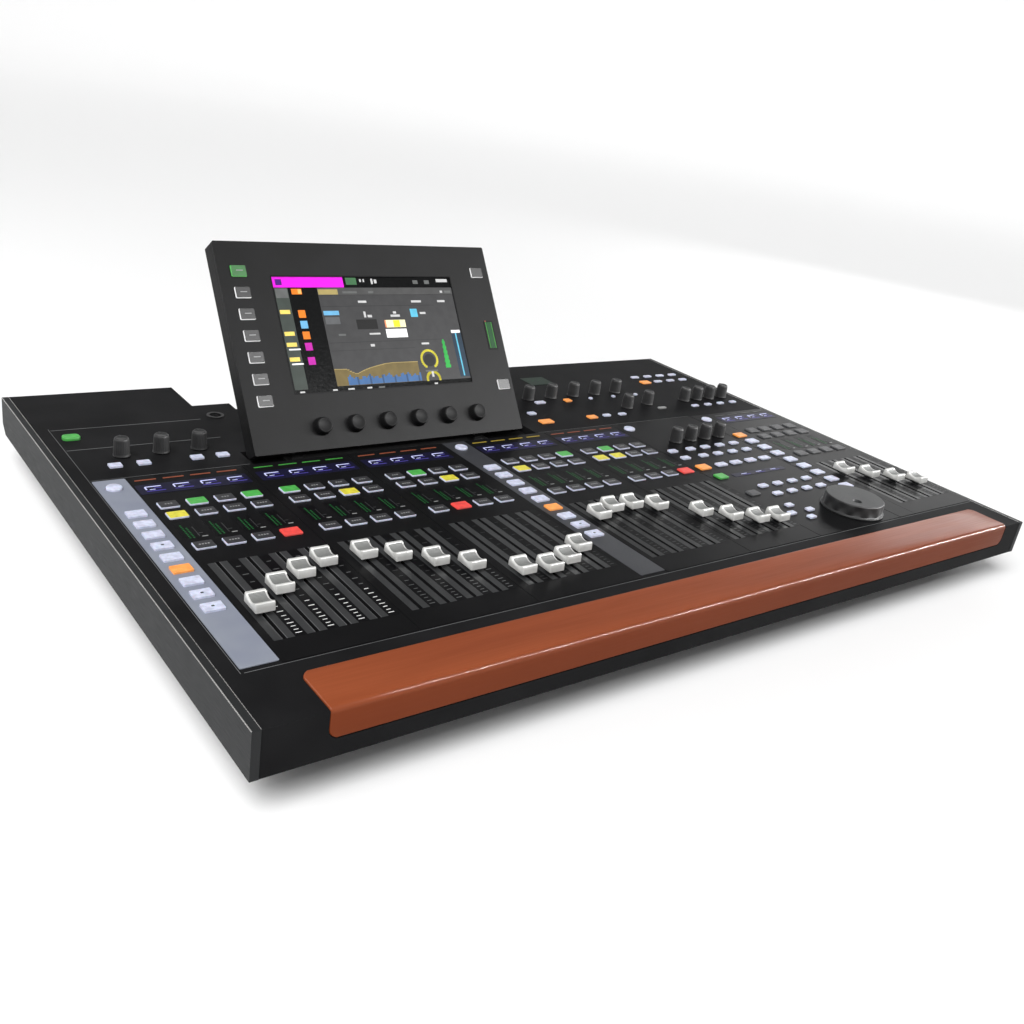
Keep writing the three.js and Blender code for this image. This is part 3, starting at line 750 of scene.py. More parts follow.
class BuildScales(bpy.types.Operator):
    """Prints the fader scales beside the slots"""
    bl_idname = "mixing_desk.scales"
    bl_label = "Fader scales"
    marks = (87, 91, 95.5, 100, 105, 110, 116, 123, 131, 140, 150, 161, 173, 186)
    # The prints of each bank: its strips, its near marks, its far marks and its lines
    prints = ((0, 1, 4, 4), (0, 4, 0, 0), (0, 0, 3, 0), (3, 0, 3, 0), (3, 0, 3, 0), (3, 3, 3, 3))

    def execute(self, context):
        top = plate_top()
        bm = bmesh.new()
        for index, bank in enumerate(BANKS):
            for x in channel_places(bank):
                self.channel(bm, x, top, *self.prints[index])
        make_piece("fader_scales", bm, ["scale", "white", "groove", "faint", "seam"], "desk")
        return {"FINISHED"}

    def channel(self, bm, x, top, strip, near, far, line):
        """One channel: a strip on each side of the slot, a black column and its marks."""
        middle = (SLOT_FRONT + SLOT_BACK) / 2
        length = SLOT_BACK - SLOT_FRONT
        for side in (-1, 1):
            slab(bm, x + side * 4.7, middle, 5.6, length, top - 0.1, top + 0.12, 0.2, 0.05, strip, 1)
            slab(bm, x + side * 1.75, middle, 0.35, length, top - 0.1, top + 0.2, 0.1, 0.05, line, 1)
        slab(bm, x + 11.85, middle, 8.2, length, top - 0.1, top + 0.08, 0.2, 0.03, 2, 1)
        for index, y in enumerate(self.marks):
            width = 4.8 if index % 3 == 0 else 3.6
            slab(bm, x + 11.8, y, width, 0.75, top - 0.1, top + 0.13, 0.2, 0.03, near if y < 126 else far, 1)


# ---------------------------------------------------------------- faders


CAP_HALF_WIDTH, CAP_HALF_LENGTH, CAP_HEIGHT = 7.4, 9.75, 8.2
# The steel blade under a cap: its width and depth, and its foot, just over the rail
STEM = (1.4, 8)
STEM_FOOT = -17.6


def cap_outline():
    """Side outline of a fader cap as depth and height: round rear lip, finger dip, lower front lip."""
    end = CAP_HALF_LENGTH
    points = [(-end, 0.3), (-end + 0.3, 0), (end - 0.3, 0), (end, 0.3), (end, 3.4), (end - 0.2, 5.2)]
    points += [(end - 2.1 + 1.8 * math.cos(math.radians(angle)), CAP_HEIGHT - 1.8 + 1.8 * math.sin(
        math.radians(angle))) for angle in range(0, 151, 25)]
    points += [(5.9 - 12.4 * t, 6.9 - 1.9 * math.sin(t * math.pi) - 0.5 * t) for t in (
        step / 9 for step in range(10))]
    points += [(-7.1, 7.0), (-7.9, 7.3), (-8.7, 7.1), (-9.2, 6.4), (-9.5, 3)]
    return points


class BuildFaders(bpy.types.Operator):
    """Builds the fader caps with their finger dips and stems"""
    bl_idname = "mixing_desk.faders"
    bl_label = "Fader caps"

    def execute(self, context):
        for name in sorted(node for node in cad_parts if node.startswith("fader_")):
            self.fader(name)
        return {"FINISHED"}

    def fader(self, name):
        centre, _, top = on_deck(name)
        foot = top - CAP_HEIGHT
        outline = cap_outline()
        bm = bmesh.new()
        half = CAP_HALF_WIDTH
        side = ((half, 0.7), (half - 0.22, 0.25), (half - 0.7, 0.0), (half - 1.35, 0.0))
        levels = [(-x, inset) for x, inset in side] + [(x, inset) for x, inset in reversed(side)]
        rings = [[(centre.x + x, centre.y + self.draw_in(y, 0, inset), foot + self.draw_in(z, 4, inset))
                  for y, z in outline] for x, inset in levels]
        for face in loft(bm, rings):
            middle = face.calc_center_median()
            depth, height = middle.y - centre.y, middle.z - foot
            if -6.6 < depth < 6.1 and height > 4 and abs(middle.x - centre.x) < half - 1.36:
                face.material_index = 1
            face.smooth = abs(depth) < 9.4 and height > 2
        slab(bm, centre.x, centre.y, *STEM, STEM_FOOT, foot + 1, 0.4, 0.2, 2)
        piece = make_piece(f"{name}_cap", bm, ["cap", "grip", "steel"], name)
        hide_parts(name)

    @staticmethod
    def draw_in(value, middle, inset):
        """Moves a coordinate towards the middle by the inset."""
        return value - math.copysign(min(inset, abs(value - middle)), value - middle)


# ---------------------------------------------------------------- knobs and wheel


def grip_knob(bm, x, y, low, radius, height, ribs=24):
    """A ribbed knob: flared foot, ribbed side, chamfered top with a shallow dish."""
    segments = ribs * 4
    levels = (
        (radius + 0.3, 0.0, 0), (radius + 0.3, 0.8, 0), (radius - 0.1, 1.4, 0), (radius - 0.15, 2.0, 0.22),
        (radius - 0.6, height - 2.6, 0.22), (radius - 0.7, height - 1.8, 0), (radius - 1, height - 0.7, 0),
        (radius - 1.6, height, 0), (radius - 2.4, height, 0), (radius - 3, height - 0.35, 0),
        (0.4, height - 0.45, 0))
    rings = [round_ring(x, y, reach, low + z, segments, ripple, ribs) for reach, z, ripple in levels]
    loft(bm, rings, smooth=True)


class BuildKnobs(bpy.types.Operator):
    """Builds the knobs of the deck"""
    bl_idname = "mixing_desk.knobs"
    bl_label = "Knobs"

    def execute(self, context):
        for name in sorted(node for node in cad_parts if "_knob_" in node):
            centre, _, _ = on_deck(name)
            bm = bmesh.new()
            grip_knob(bm, centre.x, centre.y, plate_top() + 0.3, KNOB_RADIUS, KNOB_HEIGHT)
            turned(bm, centre.x, centre.y, ((2.5, -7), (2.5, 1.5)), 16)
            slab(bm, centre.x, centre.y + 4.2, 0.7, 4.6, plate_top() + KNOB_HEIGHT - 0.6,
                 plate_top() + KNOB_HEIGHT + 0.42, 0.3, 0.1, 1)
            piece = make_piece(f"{name}_body", bm, ["knob", "scale"], name)
            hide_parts(name)
        bm = bmesh.new()
        for x, y in CHANNEL_KNOBS:
            grip_knob(bm, x, y, 0.3, KNOB_RADIUS, KNOB_HEIGHT)
        make_piece("channel_knobs", bm, ["knob"], "desk")
        return {"FINISHED"}


WHEEL_DIMPLE = (-10.5, -10)
WHEEL_LOBES = 12
WHEEL_SEGMENTS = 288


class BuildWheel(bpy.types.Operator):
    """Builds the jog wheel with its flange, lobed side and finger dimple"""
    bl_idname = "mixing_desk.wheel"
    bl_label = "Jog wheel"

    def execute(self, context):
        centre, width, top = on_deck("jog_wheel")
        radius = width / 2
        bm = bmesh.new()
        levels = ((5, -7, 0), (5, 0.7, 0), (radius + 0.7, 0.7, 0), (radius + 1.3, 1.2, 0),
                  (radius + 1.3, 2.6, 0), (radius + 0.9, 3.0, 0), (radius - 0.6, 3.1, 0),
                  (radius - 0.8, 3.8, 0.5), (radius - 1.2, top - 3, 0.5), (radius - 1.0, top - 1.6, 0.1),
                  (radius - 1.1, top - 0.6, 0), (radius - 1.8, top, 0))
        rings = [round_ring(centre.x, centre.y, reach, z, WHEEL_SEGMENTS, ripple, WHEEL_LOBES)
                 for reach, z, ripple in levels]
        faces = loft(bm, rings, close_high=False, smooth=True)
        # Painted highlight: the chamfer on the flange's upper edge takes the lighter grey of the scale print.
        for face in faces:
            if 2.6 < face.calc_center_median().z < 3.0:
                face.material_index = 2
        self.top_with_dimple(bm, centre, radius - 1.8, top)
        bmesh.ops.remove_doubles(bm, verts=bm.verts[:], dist=0.001)
        piece = make_piece("jog_wheel_body", bm, ["knob", "wheel", "scale"], "jog_wheel")
        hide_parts("jog_wheel")
        return {"FINISHED"}

    def top_with_dimple(self, bm, centre, radius, top):
        """The flat top, cut round a shallow dish for a finger."""
        dish = (centre.x + WHEEL_DIMPLE[0], centre.y + WHEEL_DIMPLE[1])
        rim = circle(centre.x, centre.y, radius, WHEEL_SEGMENTS)
        mouth = circle(*dish, 4.9, 32)
        points = rim + mouth
        verts = [bm.verts.new((px, py, top)) for px, py in points]
        loops = [[Vector((px, py, 0)) for px, py in loop] for loop in (rim, mouth)]
        for triangle in tessellate_polygon(loops):
            face = bm.faces.new([verts[i] for i in triangle])
            face.material_index = 1
        edge = verts[len(rim):]
        for reach, drop in ((4.4, 0.9), (3.4, 1.7), (1.8, 2.2), (0.3, 2.3)):
            ring = [bm.verts.new(point) for point in round_ring(dish[0], dish[1], reach, top - drop, 32)]
            for i in range(32):
                j = (i + 1) % 32
                face = bm.faces.new((edge[i], edge[j], ring[j], ring[i]))
                face.material_index = 1
                face.smooth = True
            edge = ring
        bm.faces.new(edge).material_index = 1


# ---------------------------------------------------------------- keys and lamps


def add_key(bm, x, y, width, depth, colour, low=0.0):
    """A key of one colour with a soft upper edge, or a dark key in a grey outline."""
    if colour == "outline":
        add_framed_key(bm, x, y, width, depth, "key_dark", low, skirt="grey")
        return
    slab(bm, x, y, width, depth, low, low + key_top(), 0.9, 0.35, KEY_FINISHES.index(colour))


SKIRT_WIDTH = 0.8


def add_framed_key(bm, x, y, width, depth, colour, low=0.0, height=None, marks=0, skirt="pearl"):
    """A key whose translucent skirt shows at the left and in front of a coloured face."""
    top = key_top() if height is None else height
    slab(bm, x, y, width, depth, low, low + top - 0.25, 1.0, 0.25, KEY_FINISHES.index(skirt), 2)
    shift = SKIRT_WIDTH / 2 - 0.1
    slab(bm, x + shift, y + shift, width - SKIRT_WIDTH, depth - SKIRT_WIDTH, low + 0.4, low + top, 0.8, 0.2,
         KEY_FINISHES.index(colour), 2)
    for mark in range(marks):
        slab(bm, x + 0.4 + (mark - (marks - 1) / 2) * 2.3, y + 0.6, 1.5, 1.7, low + top - 0.1,
             low + top + 0.05, 0.3, 0.02, KEY_FINISHES.index("dim" if skirt == "pearl" else "grey"), 1)


class BuildKeys(bpy.types.Operator):
    """Builds the keys of the channels, the strips and the master field"""
    bl_idname = "mixing_desk.keys"
    bl_label = "Keys"

    def execute(self, context):
        for index, bank in enumerate(BANKS):
            bm = bmesh.new()
            for row, back in ROW_BACK.items():
                for channel, x in enumerate(channel_places(bank)):
                    colour = bank[row].get(channel, "key_dark")
                    marks = (3 if row == "upper" else 4) if colour == "key_dark" else 0
                    skirt = "red" if colour == "red" else "grey" if index == 5 else "pearl"
                    add_framed_key(bm, x + 1.2, back, *CHANNEL_KEY, colour, plate_top(), CHANNEL_KEY_HEIGHT,
                                   marks, skirt)
            make_piece(f"channel_keys_{index + 1}", bm, KEY_FINISHES, "desk")
        self.strip_keys()
        for name, keys, low in (("master_keys", MASTER_KEYS, plate_top()),
                                ("channel_panel_keys", CHANNEL_PANEL_KEYS, 0.0),
                                ("assign_panel_keys", RIGHT_PANEL_KEYS, 0.0),
                                ("monitor_panel_keys", MONITOR_PANEL_KEYS, 0.0)):
            bm = bmesh.new()
            for x, y, width, depth, colour in keys:
                add_key(bm, x, y, width, depth, colour, low)
            make_piece(name, bm, KEY_FINISHES, "desk")
        return {"FINISHED"}

    def strip_keys(self):
        """The three upright rows of keys on the strips, some with a small raised mark."""
        for name, (left, right, _) in STRIPS.items():
            bm = bmesh.new()
            x = (left + right) / 2 - 0.3
            for i in range(STRIP_KEYS):
                y = STRIP_KEY_BACK - STRIP_KEY_PITCH * i
                lit = i == (0 if name == "right_key_strip" else STRIP_LIT_KEY)
                add_key(bm, x, y, *STRIP_KEY, "orange" if lit else "pearl", plate_top())
                if i in STRIP_MARKS[name]:
                    slab(bm, x, y, 2.2, 1.8, plate_top() + key_top() - 0.1, plate_top() + key_top() + 0.08,
                         0.5, 0.03, KEY_FINISHES.index("key_dark"))
            make_piece(f"{name}_keys", bm, KEY_FINISHES, "desk")


MONITOR_KEY_CORNER = 4


class BuildLiveKeys(bpy.types.Operator):
    """Finishes the keys that travel"""
    bl_idname = "mixing_desk.live_keys"
    bl_label = "Travelling keys"

    def execute(self, context):
        for name in ("bank_key_left", "bank_key_middle", "bank_key_main", "bank_key_right", "monitor_key"):
            centre, width, top = on_deck(name)
            low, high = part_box(name)
            depth = (high.y - low.y) / MM
            radius = width / 2 if name != "monitor_key" else MONITOR_KEY_CORNER
            bm = bmesh.new()
            outline = ((0, -6), (0, top - 1.1), (0.12, top - 0.6), (0.4, top - 0.2), (0.9, top),
                       (2.2, top - 0.1), (3.6, top - 0.22))
            rings = [[(px, py, z) for px, py in rounded_outline(
                centre.x, centre.y, width - 2 * inset, depth - 2 * inset, radius - inset, 8)]
                for inset, z in outline]
            loft(bm, rings, smooth=True)
            colour = "green" if name == "monitor_key" else "pearl"
            piece = make_piece(f"{name}_cap", bm, [colour], name)
            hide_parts(name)
        return {"FINISHED"}


LAMP_FINISHES = ("violet", "stroke", "brick", "leaf", "ochre", "scale", "meter", "groove", "display_green",
                 "violet_glow", "dim")


STRIP_DISPLAY_BACK, ASSIGN_DISPLAY_BACK = 335, 340
COLOUR_BAR_BACK = 354
METER_BACK = 253


def lamp_patch(bm, finish_name, x, y, width, depth, low, high, radius=0.4):
    """A lamp window or a printed patch, a little proud of the plate."""
    slab(bm, x, y, width, depth, low, high, radius, 0.05, LAMP_FINISHES.index(finish_name), 1)


class BuildLamps(bpy.types.Operator):
    """Builds the strip displays, colour bars and meters of the channels"""
    bl_idname = "mixing_desk.lamps"
    bl_label = "Displays and meters"

    def execute(self, context):
        top = plate_top()
        for index, bank in enumerate(BANKS):
            bm = bmesh.new()
            places = channel_places(bank)
            middle = (places[0] + places[-1]) / 2 + 1
            display_back = STRIP_DISPLAY_BACK if index < 5 else ASSIGN_DISPLAY_BACK
            lamp_patch(bm, "violet", middle, display_back, 96, 19, top - 0.1, top + 0.25, 1)
            for x in places:
                self.strokes(bm, x, display_back, top + 0.25)
                lamp_patch(bm, bank["bar"], x + 1, COLOUR_BAR_BACK, 18, 1.7, top - 0.1, top + 0.3)
                self.meter(bm, x + 1, top)
            make_piece(f"channel_displays_{index + 1}", bm, LAMP_FINISHES, "desk")
        bm = bmesh.new()
        lamp_patch(bm, "violet", 670, 199, 84, 8, top - 0.1, top + 0.25, 1)
        lamp_patch(bm, "display_green", 612, 521, 36, 27, 0.0, 0.3, 1)
        for i in range(3):
            lamp_patch(bm, "stroke", 646 + i * 24, 199.5, 9, 1.0, top, top + 0.33)
            lamp_patch(bm, "violet_glow", 649 + i * 24, 197.4, 12, 0.8, top, top + 0.31)
        for i in range(5):
            lamp_patch(bm, "meter", 600.5 + i * 4.6, 525 - (i % 2) * 3, 2.4, 0.9, 0.2, 0.36)
        make_piece("master_displays", bm, LAMP_FINISHES, "desk")
        return {"FINISHED"}

    def strokes(self, bm, x, back, low):
        """Two pale strokes and a violet line, as a channel's sign."""
        high = low + 0.06
        lamp_patch(bm, "stroke", x + 2.2, back + 4.4, 13.6, 1.5, low - 0.1, high)
        lamp_patch(bm, "stroke", x - 4.6, back + 1.4, 1.4, 5.4, low - 0.1, high)
        lamp_patch(bm, "stroke", x + 0.2, back - 1.4, 5, 1.0, low - 0.1, high)
        lamp_patch(bm, "violet_glow", x + 2.4, back - 4.2, 16, 1.3, low - 0.1, high)
        lamp_patch(bm, "violet_glow", x + 5.4, back + 1.0, 7, 1.2, low - 0.1, high)

    def meter(self, bm, x, top):
        """A twin ladder of small level lamps with a small pale sign beside it."""
        lamp_patch(bm, "groove", x - 1.5, METER_BACK, 14, 31, top - 0.1, top + 0.1, 0.8)
        for column, steps in ((-4.4, 9), (-1.4, 7)):
            for step in range(steps):
                lamp_patch(bm, "meter", x + column, 240.5 + step * 2.7, 1.5, 1.9, top, top + 0.2)
        lamp_patch(bm, "dim", x + 7.2, 240.5, 4.8, 1.3, top - 0.1, top + 0.12)
        lamp_patch(bm, "scale", x + 3.4, 250, 0.8, 17, top - 0.1, top + 0.14)
        lamp_patch(bm, "scale", x + 6.0, 246.5, 3.6, 0.9, top - 0.1, top + 0.12)

# ---------------------------------------------------------------- screen

# Lit shapes of the display: colour, left, bottom, width, height, from the glass's lower left corner
DISPLAY_SHAPES = (
    ("magenta", -2.8, 105, 75.8, 10.6), ("navy", 0.6, 107.2, 6.6, 6), ("leaf", 76, 107.6, 12, 7.4),
    ("pale", 91.5, 110.5, 2, 3), ("pale", 95.5, 110.5, 1.6, 3), ("pale", 104.5, 108.4, 2.2, 5.6),
    ("pale", 108.2, 109.2, 3, 4), ("smoke", 154, 108.5, 6, 4), ("smoke", 168, 108.5, 6, 4),
    ("pale", 183, 110.5, 14, 3.4), ("slate", -1.8, 4, 13.8, 100.5), ("smoke", -1.2, 94.5, 12.6, 9.4),
    ("panel", 43, 5, 157.5, 92), ("header", 43, 97.2, 157.5, 7.4), ("tan", 43.4, 97.6, 21.4, 5.4),
    ("smoke", 70, 98.8, 16, 2.2), ("smoke", 99, 98.8, 6, 2.2), ("pale", 185, 98.8, 3, 2.4),
    ("smoke", 190.5, 98.8, 8, 2.4), ("seam", 44, 85.2, 130, 0.6), ("seam", 44, 48.2, 130, 0.6),
    ("seam", 44, 40.2, 96, 0.5), ("pale", 85, 88.8, 9.5, 2.3), ("pale", 147, 88.5, 12, 2.3),
    ("pale", 179, 88.5, 9.5, 2.3), ("sky", 44.6, 76.6, 16.8, 4.4), ("steel_grey", 45.2, 67.4, 15.6, 7.2),
    ("black", 78.5, 61.4, 23.3, 10.2), ("pale", 88.5, 73.6, 2.4, 6.2), ("pale", 92.5, 73.6, 5, 2.6),
    ("pale", 119, 73.6, 11, 2.4), ("pale", 122.6, 77, 3.6, 2.4), ("cream", 110.5, 62.6, 24.2, 7.8),
    ("lemon", 120.5, 62.9, 7.5, 7.2), ("rust", 110.5, 62.6, 1.6, 7.8), ("white", 109.8, 51.9, 24.6, 9),
    ("cyan", 143.2, 73, 8.4, 8.8), ("pale", 154.5, 76, 7, 2.2), ("pale", 90.5, 55.6, 12.4, 1.8),
    ("smoke", 56, 55.4, 8, 2), ("pale", 89, 43.4, 4.6, 2.6), ("pale", 148.6, 43.4, 9.2, 2),
    ("navy_band", 188, 7, 12, 50), ("cyan", 192.4, 8, 1.7, 48), ("white", 188.2, 54.6, 11.2, 3.2),
    ("pale", 37.5, 0.9, 5, 1.6), ("pale", 54, 0.9, 7, 1.6), ("pale", 75, 0.9, 5.5, 1.6),
    ("smoke", 88, 0.7, 7, 1.6), ("pale", 3, 0.8, 5, 1.6), ("pale", 154, 0.8, 4, 1.6),
)
CHIPS = tuple(("yellow", -0.6, y - 2, 10.4, 4) for y in (80.6, 59.1, 48.3, 33.8))
CHIP_LINES = tuple(("white", 0.6, y, 12, 1.5) for y in (42.8, 28.4))
SQUARES = tuple((c, 18, y - 3.8, 7.4, 7.6) for c, y in (
    ("orange", 78.4), ("sky", 67.7), ("orange", 57), ("plum", 45.8), ("plum", 31.6)))
TAB = (("orange", 15.4, 98, 10.6, 5.6), ("amber", 22, 98.6, 3.6, 4.4))
DISPLAY_HEX = {
    "magenta": "ee0ae2", "plum": "c012a6", "navy": "4b0a78", "leaf": "3d6b45", "pale": "c4c4c4",
    "smoke": "5f6160", "slate": "3b433e", "panel": "3a3a3b", "header": "484848", "tan": "a3925a",
    "seam": "2c2c2d",
    "sky": "67aad2", "steel_grey": "5a5c5e", "black": "0d0d0d", "cream": "fbf3c4", "lemon": "e6e02a",
    "rust": "e08a60", "white": "fbfbfb", "cyan": "58b8d6", "navy_band": "0f2c40", "yellow": "ecd267",
    "orange": "e77a18", "amber": "f0b060", "olive": "6f5f33", "curve": "a8935a", "spectrum": "3a679c",
    "spectrum_dark": "284c74", "ring": "c9be2e", "knob_black": "141414", "meter_green": "27a844",
}
DISPLAY_COLOURS = tuple(DISPLAY_HEX)


def display_inks():
    """One glowing ink for each colour of the display."""
    for key, colour in DISPLAY_HEX.items():
        FINISH[f"display_{key}"] = glowing_ink(f"display_{key}_light", colour, 0.38)


class BuildDisplay(bpy.types.Operator):
    """Builds the lit shapes behind the screen's glass"""
    bl_idname = "mixing_desk.display"
    bl_label = "Screen picture"

    def execute(self, context):
        display_inks()
        bm = bmesh.new()
        low = -GLASS_DROP
        for layer, group in enumerate((DISPLAY_SHAPES, CHIPS, CHIP_LINES, SQUARES, TAB)):
            for order, (colour, left, bottom, width, height) in enumerate(group):
                lift = 0.04 + 0.002 * order + (0.12 + 0.01 * layer if layer else 0)
                self.patch(bm, colour, left, bottom, width, height, low, lift)
        self.graph(bm, low)
        self.dial(bm, low)
        self.level(bm, low)
        make_piece("screen_picture", bm, [f"display_{key}" for key in DISPLAY_COLOURS], "screen",
                   SCREEN_PLACE)
        return {"FINISHED"}

    def patch(self, bm, colour, left, bottom, width, height, low, lift):
        slab(bm, PICTURE_LEFT + left + width / 2, GLASS_BOTTOM + bottom + height / 2, width, height,
             low - 0.02, low + lift, 0.25, 0.01, DISPLAY_COLOURS.index(colour), 1)

    def graph(self, bm, low):
        """A filled response curve with a spectrum along its foot."""
        curve = ((43.2, 22), (57, 21.5), (62, 18.6), (67, 16.2), (74, 19), (82, 21.5), (92, 23.6),
                 (101, 25.2), (109, 25.8), (139, 25.6))
        colour = DISPLAY_COLOURS.index("olive")
        shape = [(43.2, 5.2), (139, 5.2)] + list(curve[::-1])
        outline = [(PICTURE_LEFT + x, GLASS_BOTTOM + y) for x, y in shape]
        self.sheet(bm, outline, low - 0.02, low + 0.16, colour)
        for (x0, y0), (x1, y1) in zip(curve, curve[1:]):
            steps = max(int(abs(x1 - x0) / 2), 1)
            for i in range(steps):
                t = (i + 0.5) / steps
                self.patch(bm, "curve", x0 + (x1 - x0) * t - 1.1, y0 + (y1 - y0) * t - 0.3, 2.4, 0.7,
                           low, 0.2)
        for i in range(42):
            height = 7.5 + 1.6 * math.sin(i * 1.7) + 1.2 * math.sin(i * 0.6 + 1)
            colour = "spectrum_dark" if i % 7 == 5 else "spectrum"
            self.patch(bm, colour, 56 + i * 2, 5.4, 1.9, height, low, 0.22)

    def sheet(self, bm, outline, bottom, top, colour):
        """A thin sheet with any outline."""
        points = [Vector((x, y, 0)) for x, y in outline]
        lower = [bm.verts.new((p.x, p.y, bottom)) for p in points]
        upper = [bm.verts.new((p.x, p.y, top)) for p in points]
        faces = []
        for a, b, c in tessellate_polygon([points]):
            faces.append(bm.faces.new((upper[a], upper[b], upper[c])))
            faces.append(bm.faces.new((lower[c], lower[b], lower[a])))
        for i in range(len(points)):
            j = (i + 1) % len(points)
            faces.append(bm.faces.new((lower[i], lower[j], upper[j], upper[i])))
        for face in faces:
            face.material_index = colour

    def dial(self, bm, low):
        """Two ring dials, one over the other, the upper with a dark middle."""
        for x, y, reach, turn in ((154, 27.5, 9.4, 300), (154.5, 6.5, 7.5, 200)):
            steps = 24
            for i in range(steps):
                angle = math.radians(90 + turn / 2 - turn * (i + 0.5) / steps)
                self.patch(bm, "ring", x + reach * math.cos(angle) - 1.2, y + reach * math.sin(angle) - 1.2,
                           2.4, 2.4, low, 0.2)
        disc = circle(PICTURE_LEFT + 154, GLASS_BOTTOM + 26.5, 6.6, 28)
        self.sheet(bm, disc, low, low + 0.22, DISPLAY_COLOURS.index("knob_black"))
        self.patch(bm, "pale", 153.2, 8.6, 2.4, 6, low, 0.24)
        self.patch(bm, "smoke", 146.5, 14.4, 15, 1.6, low, 0.22)

    def level(self, bm, low):
        """A level shown as a leaning wedge of green."""
        for i in range(20):
            t = i / 19
            width = 2.6 + 3.6 * (1 - t) + 0.9 * math.sin(i * 1.9)
            self.patch(bm, "meter_green", 175.5 - width / 2, 17.5 + 29 * t, width, 1.6, low, 0.2)


class BuildScreen(bpy.types.Operator):
    """Builds the screen's keys, knobs, level lamp and the details of its back"""
    bl_idname = "mixing_desk.screen"
    bl_label = "Screen parts"

    def execute(self, context):
        bm = bmesh.new()
        for index, (x, y) in enumerate(SCREEN_KEYS):
            colour = "deep_green" if index == 0 else "jet"
            add_framed_key(bm, x, y, *SCREEN_KEY, colour, height=SCREEN_KEY_HEIGHT,
                           skirt="green" if index == 0 else "white")
            if index < 7:
                slab(bm, x + 0.8, y + 0.6, 6.6, 0.9, 1.2, 1.38, 0.3, 0.03, KEY_FINISHES.index("dim"))
        make_piece("screen_keys", bm, KEY_FINISHES, "screen", SCREEN_PLACE)
        bm = bmesh.new()
        for x, y in SCREEN_KNOBS:
            grip_knob(bm, x, y, 0.2, 8.6, 7.5)
        make_piece("screen_knobs", bm, ["case"], "screen", SCREEN_PLACE)
        bm = bmesh.new()
        x, y = LEVEL_LAMP
        slab(bm, x, y, 12, 32, -0.05, 0.3, 0.8, 0.1, 0)
        for side in (-3.6, 3.6):
            slab(bm, x + side, y, 1.1, 29, 0.2, 0.42, 0.3, 0.05, 2)
        slab(bm, x, y, 5.4, 29, 0.2, 0.4, 0.3, 0.05, 1)
        slab(bm, x - 3.6, y + 15.5, 2, 1.6, 0.2, 0.44, 0.3, 0.05, 3)
        make_piece("screen_level_lamp", bm, ["groove", "meter", "leaf", "brick"], "screen",
                   SCREEN_PLACE)
        self.glass_frame()
        self.back_details()
        return {"FINISHED"}

    def glass_frame(self):
        """A thin gasket round the glass."""
        middle = (GLASS_LEFT + GLASS_WIDTH / 2, GLASS_BOTTOM + GLASS_HEIGHT / 2)
        inner = rounded_outline(*middle, GLASS_WIDTH - 0.8, GLASS_HEIGHT - 0.8, 0.6)
        outer = rounded_outline(*middle, GLASS_WIDTH + 1.6, GLASS_HEIGHT + 1.6, 1.2)
        bm = bmesh.new()
        cut_plate(bm, outer, [inner], -0.3, 0.12)
        make_piece("glass_gasket", bm, ["groove"], "screen", SCREEN_PLACE)

    def back_details(self):
        """Vent ribs, screw heads and a shallow cover on the rear shell."""
        corner = Matrix.Translation((SCREEN_WIDTH * MM, 0, -SCREEN_THICKNESS * MM))
        flip = SCREEN_PLACE @ corner @ Matrix.Rotation(math.pi, 4, "Y")
        middle = SCREEN_WIDTH / 2
        bm = bmesh.new()
        for i in range(18):
            slab(bm, middle + (i - 8.5) * 7, 150, 3.2, 44, -0.4, 0.7, 1.5, 0.4)
        slab(bm, middle, 72, 130, 52, -0.4, 0.8, 5, 0.4)
        make_piece("rear_shell_ribs", bm, ["case"], "screen", flip)
        bm = bmesh.new()
        for x in (12, middle, SCREEN_WIDTH - 12):
            for y in (26, 190):
                screw_head(bm, x, y, -0.95)
        for x in (middle - 60, middle + 60):
            for y in (52, 92):
                screw_head(bm, x, y, -0.2)
        make_piece("rear_shell_screws", bm, ["steel", "groove"], "screen", flip)


def screw_head(bm, x, y, low, radius=2.6):
    """A pan-head screw whose cross recess is drawn as a raised black cross, as painted shade."""
    turned(bm, x, y, ((radius, low - 0.3), (radius, low + 0.4), (radius - 0.5, low + 1.0), (0.3, low + 1.2)),
           20)
    # Painted shade: the cross recess is a raised black cross over the head.
    for width, depth, high in ((radius * 1.1, 0.7, 1.24), (0.7, radius * 1.1, 1.25)):
        slab(bm, x, y, width, depth, low + 0.9, low + high, 0.1, 0.03, 1)


def contacts(x, y, radius):
    """The places of three contacts round a middle."""
    return [(x + radius * math.cos(angle), y + radius * math.sin(angle))
            for angle in (math.radians(degrees) for degrees in (90, 210, 330))]


# ---------------------------------------------------------------- rear and underside

LAMP_SOCKET = (176, 490)

